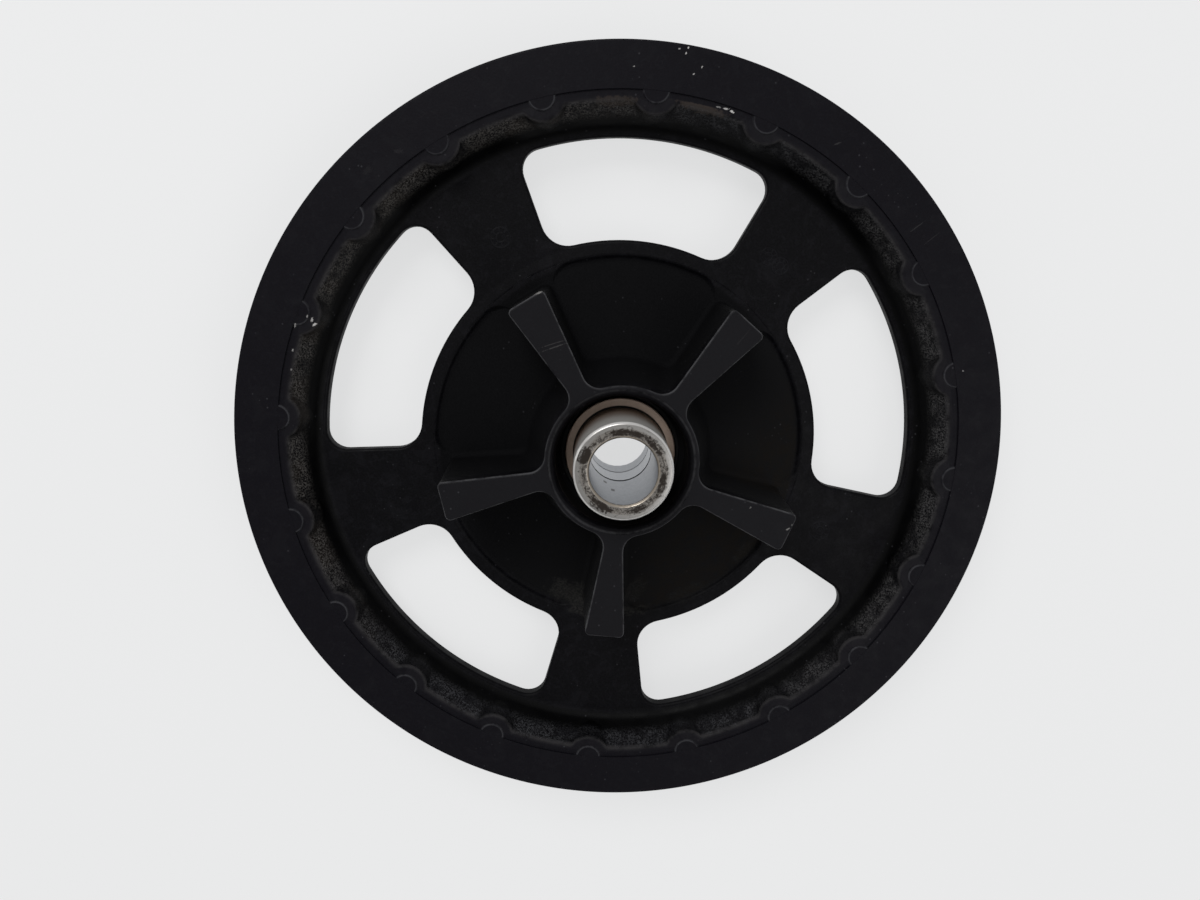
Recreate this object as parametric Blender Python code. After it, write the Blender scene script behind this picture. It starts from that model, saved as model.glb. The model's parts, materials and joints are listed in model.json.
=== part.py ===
"""Rear belt drive pulley: a casting with its bearing, spacers, retaining ring and dust seal.

Lies on the rear face of its rim with the drive lugs up. Metres, +Z up, the origin on the
rest plane under the axle's centre. The casting is held as three solids, hub, web and rim,
which meet at hairline seams.
"""

import math

import bmesh
import bpy
from mathutils import Matrix

MM = 0.001

# Belt teeth and flanges
TOOTH_COUNT = 68
TOOTH_PITCH = 14.0
PITCH_LINE_OFFSET = 1.37
GROOVE_DEPTH = 6.0
TIP_RADIUS = TOOTH_COUNT * TOOTH_PITCH / (2 * math.pi) - PITCH_LINE_OFFSET
FLANGE_RISE = 4.85
FLANGE_THICK = 3.0
FLANGE_LEAN = 0.7
BELT_SPACE = 26.0
RIM_HEIGHT = BELT_SPACE + 2 * FLANGE_THICK
FLANGE_RADIUS = TIP_RADIUS + FLANGE_RISE

# Rim inside and web
LIP_WIDTH = 17.6
LIP_INNER = FLANGE_RADIUS - LIP_WIDTH
LIP_STEP = 0.8
LEDGE_WIDTH = 3.4
WEB_THICK = 6.0
WEB_DROP = 15.0
WEB_TOP = RIM_HEIGHT - WEB_DROP
WEB_BOTTOM = WEB_TOP - WEB_THICK

# Windows between the spokes
SPOKE_COUNT = 5
SPOKE_ANGLE = math.radians(120.5)
WINDOW_HALF_ANGLE = math.radians(25.0)
WINDOW_OUTER = 122.2
WINDOW_INNER = 82.8
WINDOW_OUTER_CORNER = 8.0
WINDOW_INNER_CORNER = 11.0
WINDOW_CHAMFER = 0.9

# Dish between the lugs
HUB_RING_WIDTH = 5.8
DISH_RADIUS = WINDOW_INNER - HUB_RING_WIDTH
DISH_EDGE_RUN = 1.8
DISH_DEPTH = 2.0
DISH_FLOOR_RISE = 12.5
DISH_WALL = 6.5
HUB_RING_LIFT = 0.4

# Seams where the casting's rim, web and hub solids meet
RIM_SEAM = WINDOW_OUTER + 3.8
HUB_SEAM = DISH_RADIUS + 2.5

# Bearing
AXLE_BORE = 12.5
BEARING_RADIUS = 26.0
BEARING_WIDTH = 15.0
BEARING_TOP = RIM_HEIGHT + 3.0
BEARING_BOTTOM = BEARING_TOP - BEARING_WIDTH
BALL_COUNT = 9
BALL_RADIUS = 3.97
PITCH_SHIFT = 0.25
BALL_PITCH_RADIUS = (AXLE_BORE + BEARING_RADIUS) / 2 + PITCH_SHIFT
RACE_SPACE = 5.4
INNER_RACE_RADIUS = BALL_PITCH_RADIUS - RACE_SPACE / 2
OUTER_RACE_BORE = BALL_PITCH_RADIUS + RACE_SPACE / 2
RACE_CHAMFER = 0.8
CAGE_HALF_THICK = 1.1
CAGE_BACK = 0.6
SEAL_THICK = 1.3
SEAL_INSET = 0.5

# Hub bore
MOUTH_STEP = 0.7
MOUTH_RADIUS = BEARING_RADIUS - MOUTH_STEP
MOUTH_CHAMFER = 2.8
MOUTH_CHAMFER_RADIUS = MOUTH_RADIUS + MOUTH_CHAMFER
MOUTH_CHAMFER_DROP = 1.6
SHOULDER_STEP = 2.6
SHOULDER_RADIUS = BEARING_RADIUS - SHOULDER_STEP
SHOULDER_HEIGHT = 3.0

# Drive lugs, hub neck and boss
LUG_RISE = 26.2
LUG_TOP = RIM_HEIGHT + LUG_RISE
LUG_END_INSET = 6.8
LUG_END_RADIUS = DISH_RADIUS - LUG_END_INSET
POCKET_CORNER = 8.5
LUG_END_HALF = 7.9
LUG_ROOT_HALF = 3.9
LUG_DRAFT = 1.1
LUG_CORNER = 2.0
LUG_FILLET = 6.5
LUG_EDGE = 0.8
NECK_LAND = 1.3
NECK_TOP_RADIUS = MOUTH_CHAMFER_RADIUS + NECK_LAND
NECK_FLARE = 7.6
NECK_FOOT_RADIUS = NECK_TOP_RADIUS + NECK_FLARE
LUG_ROOT_RADIUS = NECK_TOP_RADIUS + 4.6
BOSS_WALL = 7.0
BOSS_RADIUS = BEARING_RADIUS + BOSS_WALL
BOSS_DROP = 8.0

# Ribs inside the rim
RIB_COUNT = 20
RIB_RADIUS = 9.6
RIB_TOP_DROP = 1.9
PAD_RADIUS = 5.2
PAD_TOP_DROP = 0.2

# Spacers
SLEEVE_WALL = 5.9
SLEEVE_RADIUS = AXLE_BORE + SLEEVE_WALL
SLEEVE_STANDOUT = 40.6
SLEEVE_TOP = RIM_HEIGHT + SLEEVE_STANDOUT
SLEEVE_FLANGE_THICK = 3.2
SLEEVE_UNDERCUT = 0.6
OUTER_SPACER_WALL = 4.7
OUTER_SPACER_RADIUS = AXLE_BORE + OUTER_SPACER_WALL
OUTER_SPACER_BOTTOM = 7.2
SPACER_CHAMFER = 0.8

# Retaining ring and dust seal
RING_THICK = 1.6
RING_GROOVE_DEPTH = 1.7
RING_GAP_HALF_ANGLE = math.radians(17.0)
RING_BAND = 3.6
DUST_SEAL_HEIGHT = 6.0
DUST_LIP_HEIGHT = 2.2
DUST_SEAL_WALL = 3.0

# Clearances
FIT_GAP = 0.3
RUN_GAP = 0.4
SLEEVE_FLANGE_RADIUS = OUTER_RACE_BORE - RUN_GAP

# Facets
RIM_STEPS = TOOTH_COUNT
DISC_STEPS = 50
BORE_STEPS = 32
PIECE_STEPS = 30


def clear_scene():
    """Start from an empty scene."""
    for item in list(bpy.data.objects):
        bpy.data.objects.remove(item, do_unlink=True)


def make_material(name, colour, roughness, metallic):
    """A plain Principled material."""
    material = bpy.data.materials.new(name)
    material.use_nodes = True
    shader = material.node_tree.nodes["Principled BSDF"]
    shader.inputs["Base Color"].default_value = (*colour, 1.0)
    shader.inputs["Roughness"].default_value = roughness
    shader.inputs["Metallic"].default_value = metallic
    material.diffuse_color = (*colour, 1.0)
    return material


def new_object(name, mesh, material=None):
    """Link a mesh to the scene as an object."""
    item = bpy.data.objects.new(name, mesh)
    bpy.context.scene.collection.objects.link(item)
    if material is not None:
        mesh.materials.append(material)
    return item


def as_tool(item):
    """Mark an object that only shapes another one."""
    item.hide_render = True
    item.display_type = "WIRE"
    return item


def revolve(name, profile, steps, material=None):
    """Turn a closed profile of (radius, height) in millimetres round the axle."""
    mesh = bpy.data.meshes.new(name)
    points = [(r * MM, 0.0, z * MM) for r, z in profile]
    count = len(points)
    edges = [(i, (i + 1) % count) for i in range(count)]
    mesh.from_pydata(points, edges, [])
    item = new_object(name, mesh, material)
    screw = item.modifiers.new("Turn", "SCREW")
    screw.axis = "Z"
    screw.angle = 2 * math.pi
    screw.steps = steps
    screw.render_steps = steps
    screw.use_merge_vertices = True
    screw.merge_threshold = 0.00001
    screw.use_smooth_shade = False
    return item


def loft(name, rings, material=None):
    """Close a stack of equal rings of (x, y, z) in millimetres, bottom ring first."""
    mesh = bpy.data.meshes.new(name)
    bm = bmesh.new()
    rows = [[bm.verts.new((x * MM, y * MM, z * MM)) for x, y, z in ring] for ring in rings]
    count = len(rows[0])
    for low, high in zip(rows, rows[1:]):
        for i in range(count):
            j = (i + 1) % count
            bm.faces.new((low[i], low[j], high[j], high[i]))
    bm.faces.new(list(reversed(rows[0])))
    bm.faces.new(rows[-1])
    bmesh.ops.recalc_face_normals(bm, faces=bm.faces[:])
    bm.to_mesh(mesh)
    bm.free()
    return new_object(name, mesh, material)


def ring_of_copies(item, count, first_angle):
    """Turn one shape's mesh into a pattern of copies round the axle."""
    bm = bmesh.new()
    bm.from_mesh(item.data)
    seed = bm.verts[:] + bm.edges[:] + bm.faces[:]
    bmesh.ops.rotate(bm, verts=bm.verts[:], cent=(0, 0, 0), matrix=Matrix.Rotation(first_angle, 3, "Z"))
    for i in range(1, count):
        copy = bmesh.ops.duplicate(bm, geom=seed)
        verts = [g for g in copy["geom"] if isinstance(g, bmesh.types.BMVert)]
        turn = Matrix.Rotation(2 * math.pi * i / count, 3, "Z")
        bmesh.ops.rotate(bm, verts=verts, cent=(0, 0, 0), matrix=turn)
    bm.to_mesh(item.data)
    bm.free()
    return item


def boolean(item, tool, operation):
    """Add an exact boolean with a hidden tool object."""
    modifier = item.modifiers.new(tool.name, "BOOLEAN")
    modifier.object = as_tool(tool)
    modifier.operation = operation
    modifier.solver = "EXACT"


def smooth(item, angle=32.0):
    """Smooth shading below an edge angle, worked into the mesh at the end."""
    depsgraph = bpy.context.evaluated_depsgraph_get()
    mesh = bpy.data.meshes.new_from_object(item.evaluated_get(depsgraph))
    mesh.name = item.name
    item.modifiers.clear()
    item.data = mesh
    for face in mesh.polygons:
        face.use_smooth = True
    mesh.set_sharp_from_angle(angle=math.radians(angle))


def set_origin(item, x, y, z):
    """Put an object's origin at a place in millimetres without moving its shape."""
    item.data.transform(Matrix.Translation((-x * MM, -y * MM, -z * MM)))
    item.location = (x * MM, y * MM, z * MM)


def polar(radius, angle):
    """A point on a circle."""
    return radius * math.cos(angle), radius * math.sin(angle)


def arc(cx, cy, radius, start, end, segments):
    """Points of an arc, both ends included."""
    points = []
    for i in range(segments + 1):
        a = start + (end - start) * i / segments
        points.append((cx + radius * math.cos(a), cy + radius * math.sin(a)))
    return points


def rim_wall_height(radius):
    """Height of the rounded foot of the rim's inner wall near the seam."""
    share = (radius - WINDOW_OUTER - 3.4) / 2.6
    return WEB_TOP + 1.1 + 3.3 * share


def rim_profile():
    """Rim ring: inner wall, ledges, two flanges with leaning sides, and the tooth tips."""
    edge = 0.6
    top = RIM_HEIGHT
    ledge = RIM_HEIGHT - LIP_STEP
    corner = LIP_INNER - LEDGE_WIDTH
    return [
        (RIM_SEAM, rim_wall_height(RIM_SEAM)),
        (WINDOW_OUTER + 6.0, rim_wall_height(WINDOW_OUTER + 6.0)),
        (corner - 3.6, ledge - 5.4),
        (corner - 1.6, ledge - 2.0),
        (corner, ledge),
        (LIP_INNER, ledge),
        (LIP_INNER, top),
        (FLANGE_RADIUS - edge, top),
        (FLANGE_RADIUS, top - edge),
        (FLANGE_RADIUS, top - FLANGE_THICK + FLANGE_LEAN),
        (TIP_RADIUS, top - FLANGE_THICK),
        (TIP_RADIUS, FLANGE_THICK),
        (FLANGE_RADIUS, FLANGE_THICK - FLANGE_LEAN),
        (FLANGE_RADIUS, edge),
        (FLANGE_RADIUS - edge, 0.0),
        (LIP_INNER, 0.0),
        (LIP_INNER, LIP_STEP),
        (corner + 2.0, LIP_STEP),
        (corner - 0.6, WEB_BOTTOM - 3.0),
        (corner - 3.4, WEB_BOTTOM),
        (RIM_SEAM, WEB_BOTTOM),
    ]


def web_profile():
    """Flat web between hub ring and rim, with the foot of the rim's inner fillet."""
    outer = RIM_SEAM - FIT_GAP
    inner = HUB_SEAM + FIT_GAP
    return [
        (inner, WEB_TOP),
        (WINDOW_OUTER + 0.6, WEB_TOP),
        (WINDOW_OUTER + 3.4, WEB_TOP + 1.1),
        (outer, rim_wall_height(outer)),
        (outer, WEB_BOTTOM),
        (inner, WEB_BOTTOM),
    ]


def hub_profile():
    """Hub body: hub ring, dish floor and rear boss, still without its bore."""
    dish_foot = DISH_RADIUS - DISH_EDGE_RUN
    ring_top = WEB_TOP + HUB_RING_LIFT
    floor_low = ring_top - DISH_DEPTH
    floor_high = floor_low + DISH_FLOOR_RISE
    return [
        (0.0, floor_high + 4.0),
        (NECK_TOP_RADIUS, floor_high + 4.0),
        (NECK_FOOT_RADIUS + 0.5, floor_high),
        (dish_foot - 1.4, floor_low + 0.4),
        (dish_foot, floor_low),
        (DISH_RADIUS, ring_top),
        (HUB_SEAM, WEB_TOP),
        (HUB_SEAM, WEB_BOTTOM),
        (DISH_RADIUS - 1.5, floor_low - DISH_WALL),
        (BOSS_RADIUS + 6.0, floor_high - DISH_WALL - 1.5),
        (BOSS_RADIUS + 1.5, floor_high - DISH_WALL - 5.0),
        (BOSS_RADIUS, BOSS_DROP + 1.0),
        (BOSS_RADIUS - 1.0, BOSS_DROP),
        (0.0, BOSS_DROP),
    ]


def groove_cutter():
    """The belt grooves between the teeth, one cutter for each tooth gap."""
    root = TIP_RADIUS - GROOVE_DEPTH
    half = [
        (1.6, root),
        (3.8, root + 1.8),
        (4.6, TIP_RADIUS - 0.6),
        (5.5, TIP_RADIUS + 1.2),
    ]
    outline = [(r, t) for t, r in half] + [(r, -t) for t, r in reversed(half)]
    low = FLANGE_THICK + 0.15
    high = RIM_HEIGHT - low
    rings = [[(x, y, z) for x, y in outline] for z in (low, high)]
    cutter = loft("belt_groove_cutter", rings)
    return ring_of_copies(cutter, TOOTH_COUNT, math.pi / TOOTH_COUNT)


def window_outline(offset):
    """Rounded window between two spokes, grown by an offset, centred on +X."""
    ro = WINDOW_OUTER_CORNER
    ri = WINDOW_INNER_CORNER
    outer_centre = WINDOW_OUTER - ro
    inner_centre = WINDOW_INNER + ri
    outer_at = WINDOW_HALF_ANGLE - math.asin(ro / outer_centre)
    inner_at = WINDOW_HALF_ANGLE - math.asin(ri / inner_centre)
    side = WINDOW_HALF_ANGLE + math.pi / 2
    ox, oy = polar(outer_centre, outer_at)
    ix, iy = polar(inner_centre, inner_at)
    points = []
    for i in range(7):
        points.append(polar(WINDOW_OUTER + offset, outer_at * (i - 3) / 3))
    outer_arc = arc(ox, oy, ro + offset, outer_at, side, 3)[1:]
    inner_arc = arc(ix, iy, ri + offset, side, inner_at + math.pi, 4)
    points += outer_arc + inner_arc
    for i in range(1, 4):
        points.append(polar(WINDOW_INNER - offset, inner_at * (2 - i) / 2))
    points += [(x, -y) for x, y in reversed(inner_arc)]
    points += [(x, -y) for x, y in reversed(outer_arc)]
    return points


def window_cutter():
    """Five windows with a small chamfer on both faces of the web."""
    levels = [
        (WEB_BOTTOM - 9.0, 0.0),
        (WEB_TOP - WINDOW_CHAMFER, 0.0),
        (WEB_TOP + 0.05, WINDOW_CHAMFER),
        (WEB_TOP + 9.0, WINDOW_CHAMFER),
    ]
    rings = [[(x, y, z) for x, y in window_outline(grow)] for z, grow in levels]
    cutter = loft("window_cutter", rings)
    return ring_of_copies(cutter, SPOKE_COUNT, SPOKE_ANGLE + math.pi / SPOKE_COUNT)


def star_outline(neck, root_half, end_half, end_radius, fillet, corner):
    """Hub neck with its five lugs, seen from above, with the first lug along +X."""
    slope = math.atan2(end_half - root_half, end_radius - LUG_ROOT_RADIUS)
    along = (math.cos(slope), math.sin(slope))
    across = (-math.sin(slope), math.cos(slope))
    offset = LUG_ROOT_RADIUS * across[0] + root_half * across[1]
    reach = math.sqrt((neck + fillet) ** 2 - (offset + fillet) ** 2)
    fx = across[0] * (offset + fillet) + along[0] * reach
    fy = across[1] * (offset + fillet) + along[1] * reach
    neck_at = math.atan2(fy, fx)
    cx = end_radius - corner
    cy = (offset - corner - across[0] * cx) / across[1]
    side = slope + math.pi / 2
    half = arc(cx, cy, corner, 0.0, side, 3)
    half += list(reversed(arc(fx, fy, fillet, neck_at - math.pi, slope - math.pi / 2, 5)))
    sector = 2 * math.pi / SPOKE_COUNT
    upper = half + [polar(neck, neck_at + (sector / 2 - neck_at) * i / 2) for i in (1, 2)]
    lower = [(x, -y) for x, y in reversed(half)]
    lower = [polar(neck, -neck_at - (sector / 2 - neck_at) / 2)] + lower
    points = []
    for k in range(SPOKE_COUNT):
        turn = SPOKE_ANGLE + sector * k
        c = math.cos(turn)
        s = math.sin(turn)
        points += [(x * c - y * s, x * s + y * c) for x, y in lower + upper]
    return points


def dish_floor(radius):
    """Height of the dish's conical floor."""
    foot = DISH_RADIUS - DISH_EDGE_RUN
    low = WEB_TOP + HUB_RING_LIFT - DISH_DEPTH
    return low + DISH_FLOOR_RISE * (foot - radius) / (foot - NECK_FOOT_RADIUS)


def lug_star():
    """The drafted star of neck and lugs that carries the drive, rooted in the dish floor."""
    floor = WEB_TOP + 3.0
    rise = LUG_TOP - floor
    foot = dish_floor(NECK_FOOT_RADIUS)
    neck_low = NECK_TOP_RADIUS + (NECK_FOOT_RADIUS - NECK_TOP_RADIUS) * rise / (LUG_TOP - foot)
    low = star_outline(
        neck_low,
        LUG_ROOT_HALF + LUG_DRAFT,
        LUG_END_HALF + LUG_DRAFT,
        LUG_END_RADIUS + LUG_DRAFT,
        LUG_FILLET - LUG_DRAFT,
        LUG_CORNER + LUG_DRAFT,
    )
    high = star_outline(
        NECK_TOP_RADIUS, LUG_ROOT_HALF, LUG_END_HALF, LUG_END_RADIUS, LUG_FILLET, LUG_CORNER
    )
    cap = star_outline(
        NECK_TOP_RADIUS - LUG_EDGE,
        LUG_ROOT_HALF - LUG_EDGE,
        LUG_END_HALF - LUG_EDGE,
        LUG_END_RADIUS - LUG_EDGE,
        LUG_FILLET + LUG_EDGE,
        LUG_CORNER - LUG_EDGE * 0.8,
    )
    rings = [[(x, y, min(floor, dish_floor(math.hypot(x, y)) - 1.0)) for x, y in low]]
    rings += [[(x, y, z) for x, y in ring] for ring, z in ((high, LUG_TOP - LUG_EDGE), (cap, LUG_TOP))]
    return loft("lug_star", rings)


def foot_outline(grow):
    """Foot of a lug at ring level, grown outwards: its sides are the rounded pocket corners."""
    ring = DISH_RADIUS - grow
    corner = POCKET_CORNER - grow
    lug_side = LUG_END_HALF + LUG_DRAFT + grow
    across = lug_side + corner
    reach = ring - corner
    along = math.sqrt(reach ** 2 - across ** 2)
    turn = math.atan2(across, along)
    rounded = arc(along, across, corner, turn, -math.pi / 2, 5)
    outer = DISH_RADIUS + 0.4
    half = [polar(outer, turn)] + rounded
    half.append((along - corner, lug_side - 2.0))
    middle = [(outer, 0.0)]
    return middle + half + [(x, -y) for x, y in reversed(half)]


def lug_feet():
    """Feet at ring level under the lug ends, which round the corners of the dish pockets."""
    top = WEB_TOP + HUB_RING_LIFT - 0.02
    low = top - DISH_DEPTH
    levels = [(low - 1.0, DISH_EDGE_RUN), (low, DISH_EDGE_RUN), (top, 0.0)]
    feet = loft("lug_feet", [[(x, y, z) for x, y in foot_outline(grow)] for z, grow in levels])
    return ring_of_copies(feet, SPOKE_COUNT, SPOKE_ANGLE)


def half_round(name, radius, bottom, top, lean, segments):
    """Upright round columns on the rim's inner wall, patterned round the axle."""
    rings = []
    for z, r in ((bottom, radius + lean), (top, radius)):
        circle = arc(LIP_INNER + 0.6, 0.0, r, 0.0, 2 * math.pi, segments)[:-1]
        rings.append([(x, y, z) for x, y in circle])
    column = loft(name, rings)
    return ring_of_copies(column, RIB_COUNT, SPOKE_ANGLE)


def bore_cutter():
    """Everything that is bored out of the hub for the bearing, ring and seal."""
    groove_top = BEARING_BOTTOM - FIT_GAP
    groove_low = groove_top - RING_THICK - 2 * FIT_GAP
    seat_top = BEARING_TOP + FIT_GAP
    lip_top = seat_top + SHOULDER_HEIGHT
    profile = [
        (0.0, LUG_TOP + 3.0),
        (MOUTH_CHAMFER_RADIUS, LUG_TOP + 3.0),
        (MOUTH_CHAMFER_RADIUS, LUG_TOP - 0.5),
        (MOUTH_RADIUS + 0.7, LUG_TOP - MOUTH_CHAMFER_DROP),
        (MOUTH_RADIUS, LUG_TOP - MOUTH_CHAMFER_DROP - 1.2),
        (MOUTH_RADIUS, lip_top + 1.5),
        (SHOULDER_RADIUS, lip_top),
        (SHOULDER_RADIUS, seat_top),
        (BEARING_RADIUS, seat_top),
        (BEARING_RADIUS, groove_top),
        (BEARING_RADIUS + RING_GROOVE_DEPTH, groove_top),
        (BEARING_RADIUS + RING_GROOVE_DEPTH, groove_low),
        (BEARING_RADIUS, groove_low),
        (BEARING_RADIUS, BOSS_DROP + 0.8),
        (BEARING_RADIUS + 1.0, BOSS_DROP - 0.2),
        (BEARING_RADIUS + 1.0, BOSS_DROP - 3.0),
        (0.0, BOSS_DROP - 3.0),
    ]
    return revolve("bore_cutter", profile, BORE_STEPS)


def make_rim(aluminium):
    """Toothed rim with both belt flanges and the ribs on its inner wall."""
    rim = revolve("pulley_rim", rim_profile(), RIM_STEPS, aluminium)
    ribs = half_round("rim_ribs", RIB_RADIUS, WEB_TOP + 2.0, RIM_HEIGHT - RIB_TOP_DROP, 0.6, 10)
    pads = half_round("rib_pads", PAD_RADIUS, RIM_HEIGHT - 5.0, RIM_HEIGHT - PAD_TOP_DROP, 0.3, 8)
    boolean(rim, ribs, "UNION")
    boolean(rim, pads, "UNION")
    boolean(rim, groove_cutter(), "DIFFERENCE")
    smooth(rim)
    return rim


def make_web(aluminium):
    """Web of five spokes between hub ring and rim."""
    web = revolve("pulley_web", web_profile(), RIM_STEPS, aluminium)
    boolean(web, window_cutter(), "DIFFERENCE")
    smooth(web)
    return web


def make_hub(aluminium):
    """Hub with its bored boss, the dish and the five drive lugs."""
    hub = revolve("pulley_hub", hub_profile(), DISC_STEPS, aluminium)
    boolean(hub, lug_feet(), "UNION")
    boolean(hub, lug_star(), "UNION")
    boolean(hub, bore_cutter(), "DIFFERENCE")
    smooth(hub)
    return hub


def race_groove(radius, outward):
    """Points of the ball track in a race, from the top down or from the bottom up."""
    track = BALL_RADIUS + RUN_GAP
    middle = (BEARING_TOP + BEARING_BOTTOM) / 2
    reach = abs(radius - BALL_PITCH_RADIUS)
    start = math.acos(reach / track)
    points = []
    for i in range(4):
        a = start - 2 * start * i / 3
        points.append((BALL_PITCH_RADIUS + outward * track * math.cos(a), middle + track * math.sin(a)))
    return points


def make_outer_race(steel):
    """Outer race, pressed into the hub."""
    outer = BEARING_RADIUS - FIT_GAP
    c = RACE_CHAMFER
    track = race_groove(OUTER_RACE_BORE, 1.0)
    profile = [
        (OUTER_RACE_BORE, BEARING_TOP),
        (outer - c, BEARING_TOP),
        (outer, BEARING_TOP - c),
        (outer, BEARING_BOTTOM + c),
        (outer - c, BEARING_BOTTOM),
        (OUTER_RACE_BORE, BEARING_BOTTOM),
    ] + list(reversed(track))
    race = revolve("bearing_outer_race", profile, BORE_STEPS, steel)
    smooth(race)
    return race


def make_inner_race(steel):
    """Inner race, clamped between the two spacers."""
    c = RACE_CHAMFER
    track = race_groove(INNER_RACE_RADIUS, -1.0)
    profile = [
        (AXLE_BORE + c, BEARING_TOP),
        (INNER_RACE_RADIUS, BEARING_TOP),
    ] + track + [
        (INNER_RACE_RADIUS, BEARING_BOTTOM),
        (AXLE_BORE + c, BEARING_BOTTOM),
        (AXLE_BORE, BEARING_BOTTOM + c),
        (AXLE_BORE, BEARING_TOP - c),
    ]
    race = revolve("bearing_inner_race", profile, PIECE_STEPS, steel)
    smooth(race)
    return race


def make_balls(steel):
    """Nine balls on the pitch circle."""
    middle = (BEARING_TOP + BEARING_BOTTOM) / 2
    balls = []
    for i in range(BALL_COUNT):
        x, y = polar(BALL_PITCH_RADIUS, 2 * math.pi * i / BALL_COUNT)
        mesh = bpy.data.meshes.new("ball")
        bm = bmesh.new()
        place = Matrix.Translation((x * MM, y * MM, middle * MM))
        bmesh.ops.create_uvsphere(bm, u_segments=8, v_segments=6, radius=BALL_RADIUS * MM, matrix=place)
        bm.to_mesh(mesh)
        bm.free()
        ball = new_object("bearing_ball_%02d" % (i + 1), mesh, steel)
        smooth(ball, 60.0)
        balls.append(ball)
    return balls


def make_cage():
    """Moulded crown cage with a round pocket for each ball."""
    material = make_material("cage_nylon", (0.16, 0.12, 0.06), 0.55, 0.0)
    middle = (BEARING_TOP + BEARING_BOTTOM) / 2
    low = middle - BALL_RADIUS - RUN_GAP - CAGE_BACK
    high = middle + BALL_RADIUS * 0.55
    profile = [
        (BALL_PITCH_RADIUS - CAGE_HALF_THICK, high),
        (BALL_PITCH_RADIUS + CAGE_HALF_THICK, high),
        (BALL_PITCH_RADIUS + CAGE_HALF_THICK, low),
        (BALL_PITCH_RADIUS - CAGE_HALF_THICK, low),
    ]
    cage = revolve("bearing_cage", profile, BALL_COUNT * 4, material)
    pocket = BALL_RADIUS + RUN_GAP
    rings = []
    reach = 3 * CAGE_HALF_THICK
    for x in (BALL_PITCH_RADIUS - reach, BALL_PITCH_RADIUS + reach):
        circle = arc(0.0, middle, pocket, 0.0, 2 * math.pi, 10)[:-1]
        rings.append([(x, y, z) for y, z in circle])
    pockets = ring_of_copies(loft("cage_pocket_cutter", rings), BALL_COUNT, 0.0)
    boolean(cage, pockets, "DIFFERENCE")
    smooth(cage)
    return cage


def make_bearing_seal(name, outer_face, inward, rubber):
    """Rubber seal washer between the two races."""
    a = outer_face + inward * SEAL_INSET
    b = a + inward * SEAL_THICK
    top = max(a, b)
    bottom = min(a, b)
    inner = INNER_RACE_RADIUS + RUN_GAP
    outer = OUTER_RACE_BORE - FIT_GAP
    profile = [(inner, top), (outer, top), (outer, bottom), (inner, bottom)]
    seal = revolve(name, profile, PIECE_STEPS, rubber)
    smooth(seal)
    return seal


def make_sleeve(steel):
    """Flanged spacer that stands out on the wheel side."""
    bottom = BEARING_TOP + FIT_GAP
    flange_top = bottom + SLEEVE_FLANGE_THICK
    c = SPACER_CHAMFER
    profile = [
        (AXLE_BORE + c, SLEEVE_TOP),
        (SLEEVE_RADIUS - c, SLEEVE_TOP),
        (SLEEVE_RADIUS, SLEEVE_TOP - c),
        (SLEEVE_RADIUS, flange_top + 1.6),
        (SLEEVE_RADIUS - SLEEVE_UNDERCUT, flange_top + 1.2),
        (SLEEVE_RADIUS - SLEEVE_UNDERCUT, flange_top),
        (SLEEVE_FLANGE_RADIUS - 0.5, flange_top),
        (SLEEVE_FLANGE_RADIUS, flange_top - 0.5),
        (SLEEVE_FLANGE_RADIUS, bottom + SEAL_INSET + 0.5),
        (INNER_RACE_RADIUS, bottom),
        (AXLE_BORE + 0.4, bottom),
        (AXLE_BORE, bottom + 0.4),
        (AXLE_BORE, SLEEVE_TOP - c),
    ]
    sleeve = revolve("wheel_side_spacer", profile, BORE_STEPS, steel)
    smooth(sleeve)
    return sleeve


def make_outer_spacer(steel):
    """Short spacer on the outer side."""
    top = BEARING_BOTTOM - FIT_GAP
    c = SPACER_CHAMFER
    profile = [
        (AXLE_BORE, top),
        (INNER_RACE_RADIUS, top),
        (OUTER_SPACER_RADIUS, top - 0.5),
        (OUTER_SPACER_RADIUS, OUTER_SPACER_BOTTOM + c),
        (OUTER_SPACER_RADIUS - c, OUTER_SPACER_BOTTOM),
        (AXLE_BORE + c, OUTER_SPACER_BOTTOM),
        (AXLE_BORE, OUTER_SPACER_BOTTOM + c),
    ]
    spacer = revolve("outer_spacer", profile, PIECE_STEPS, steel)
    smooth(spacer)
    return spacer


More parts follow.
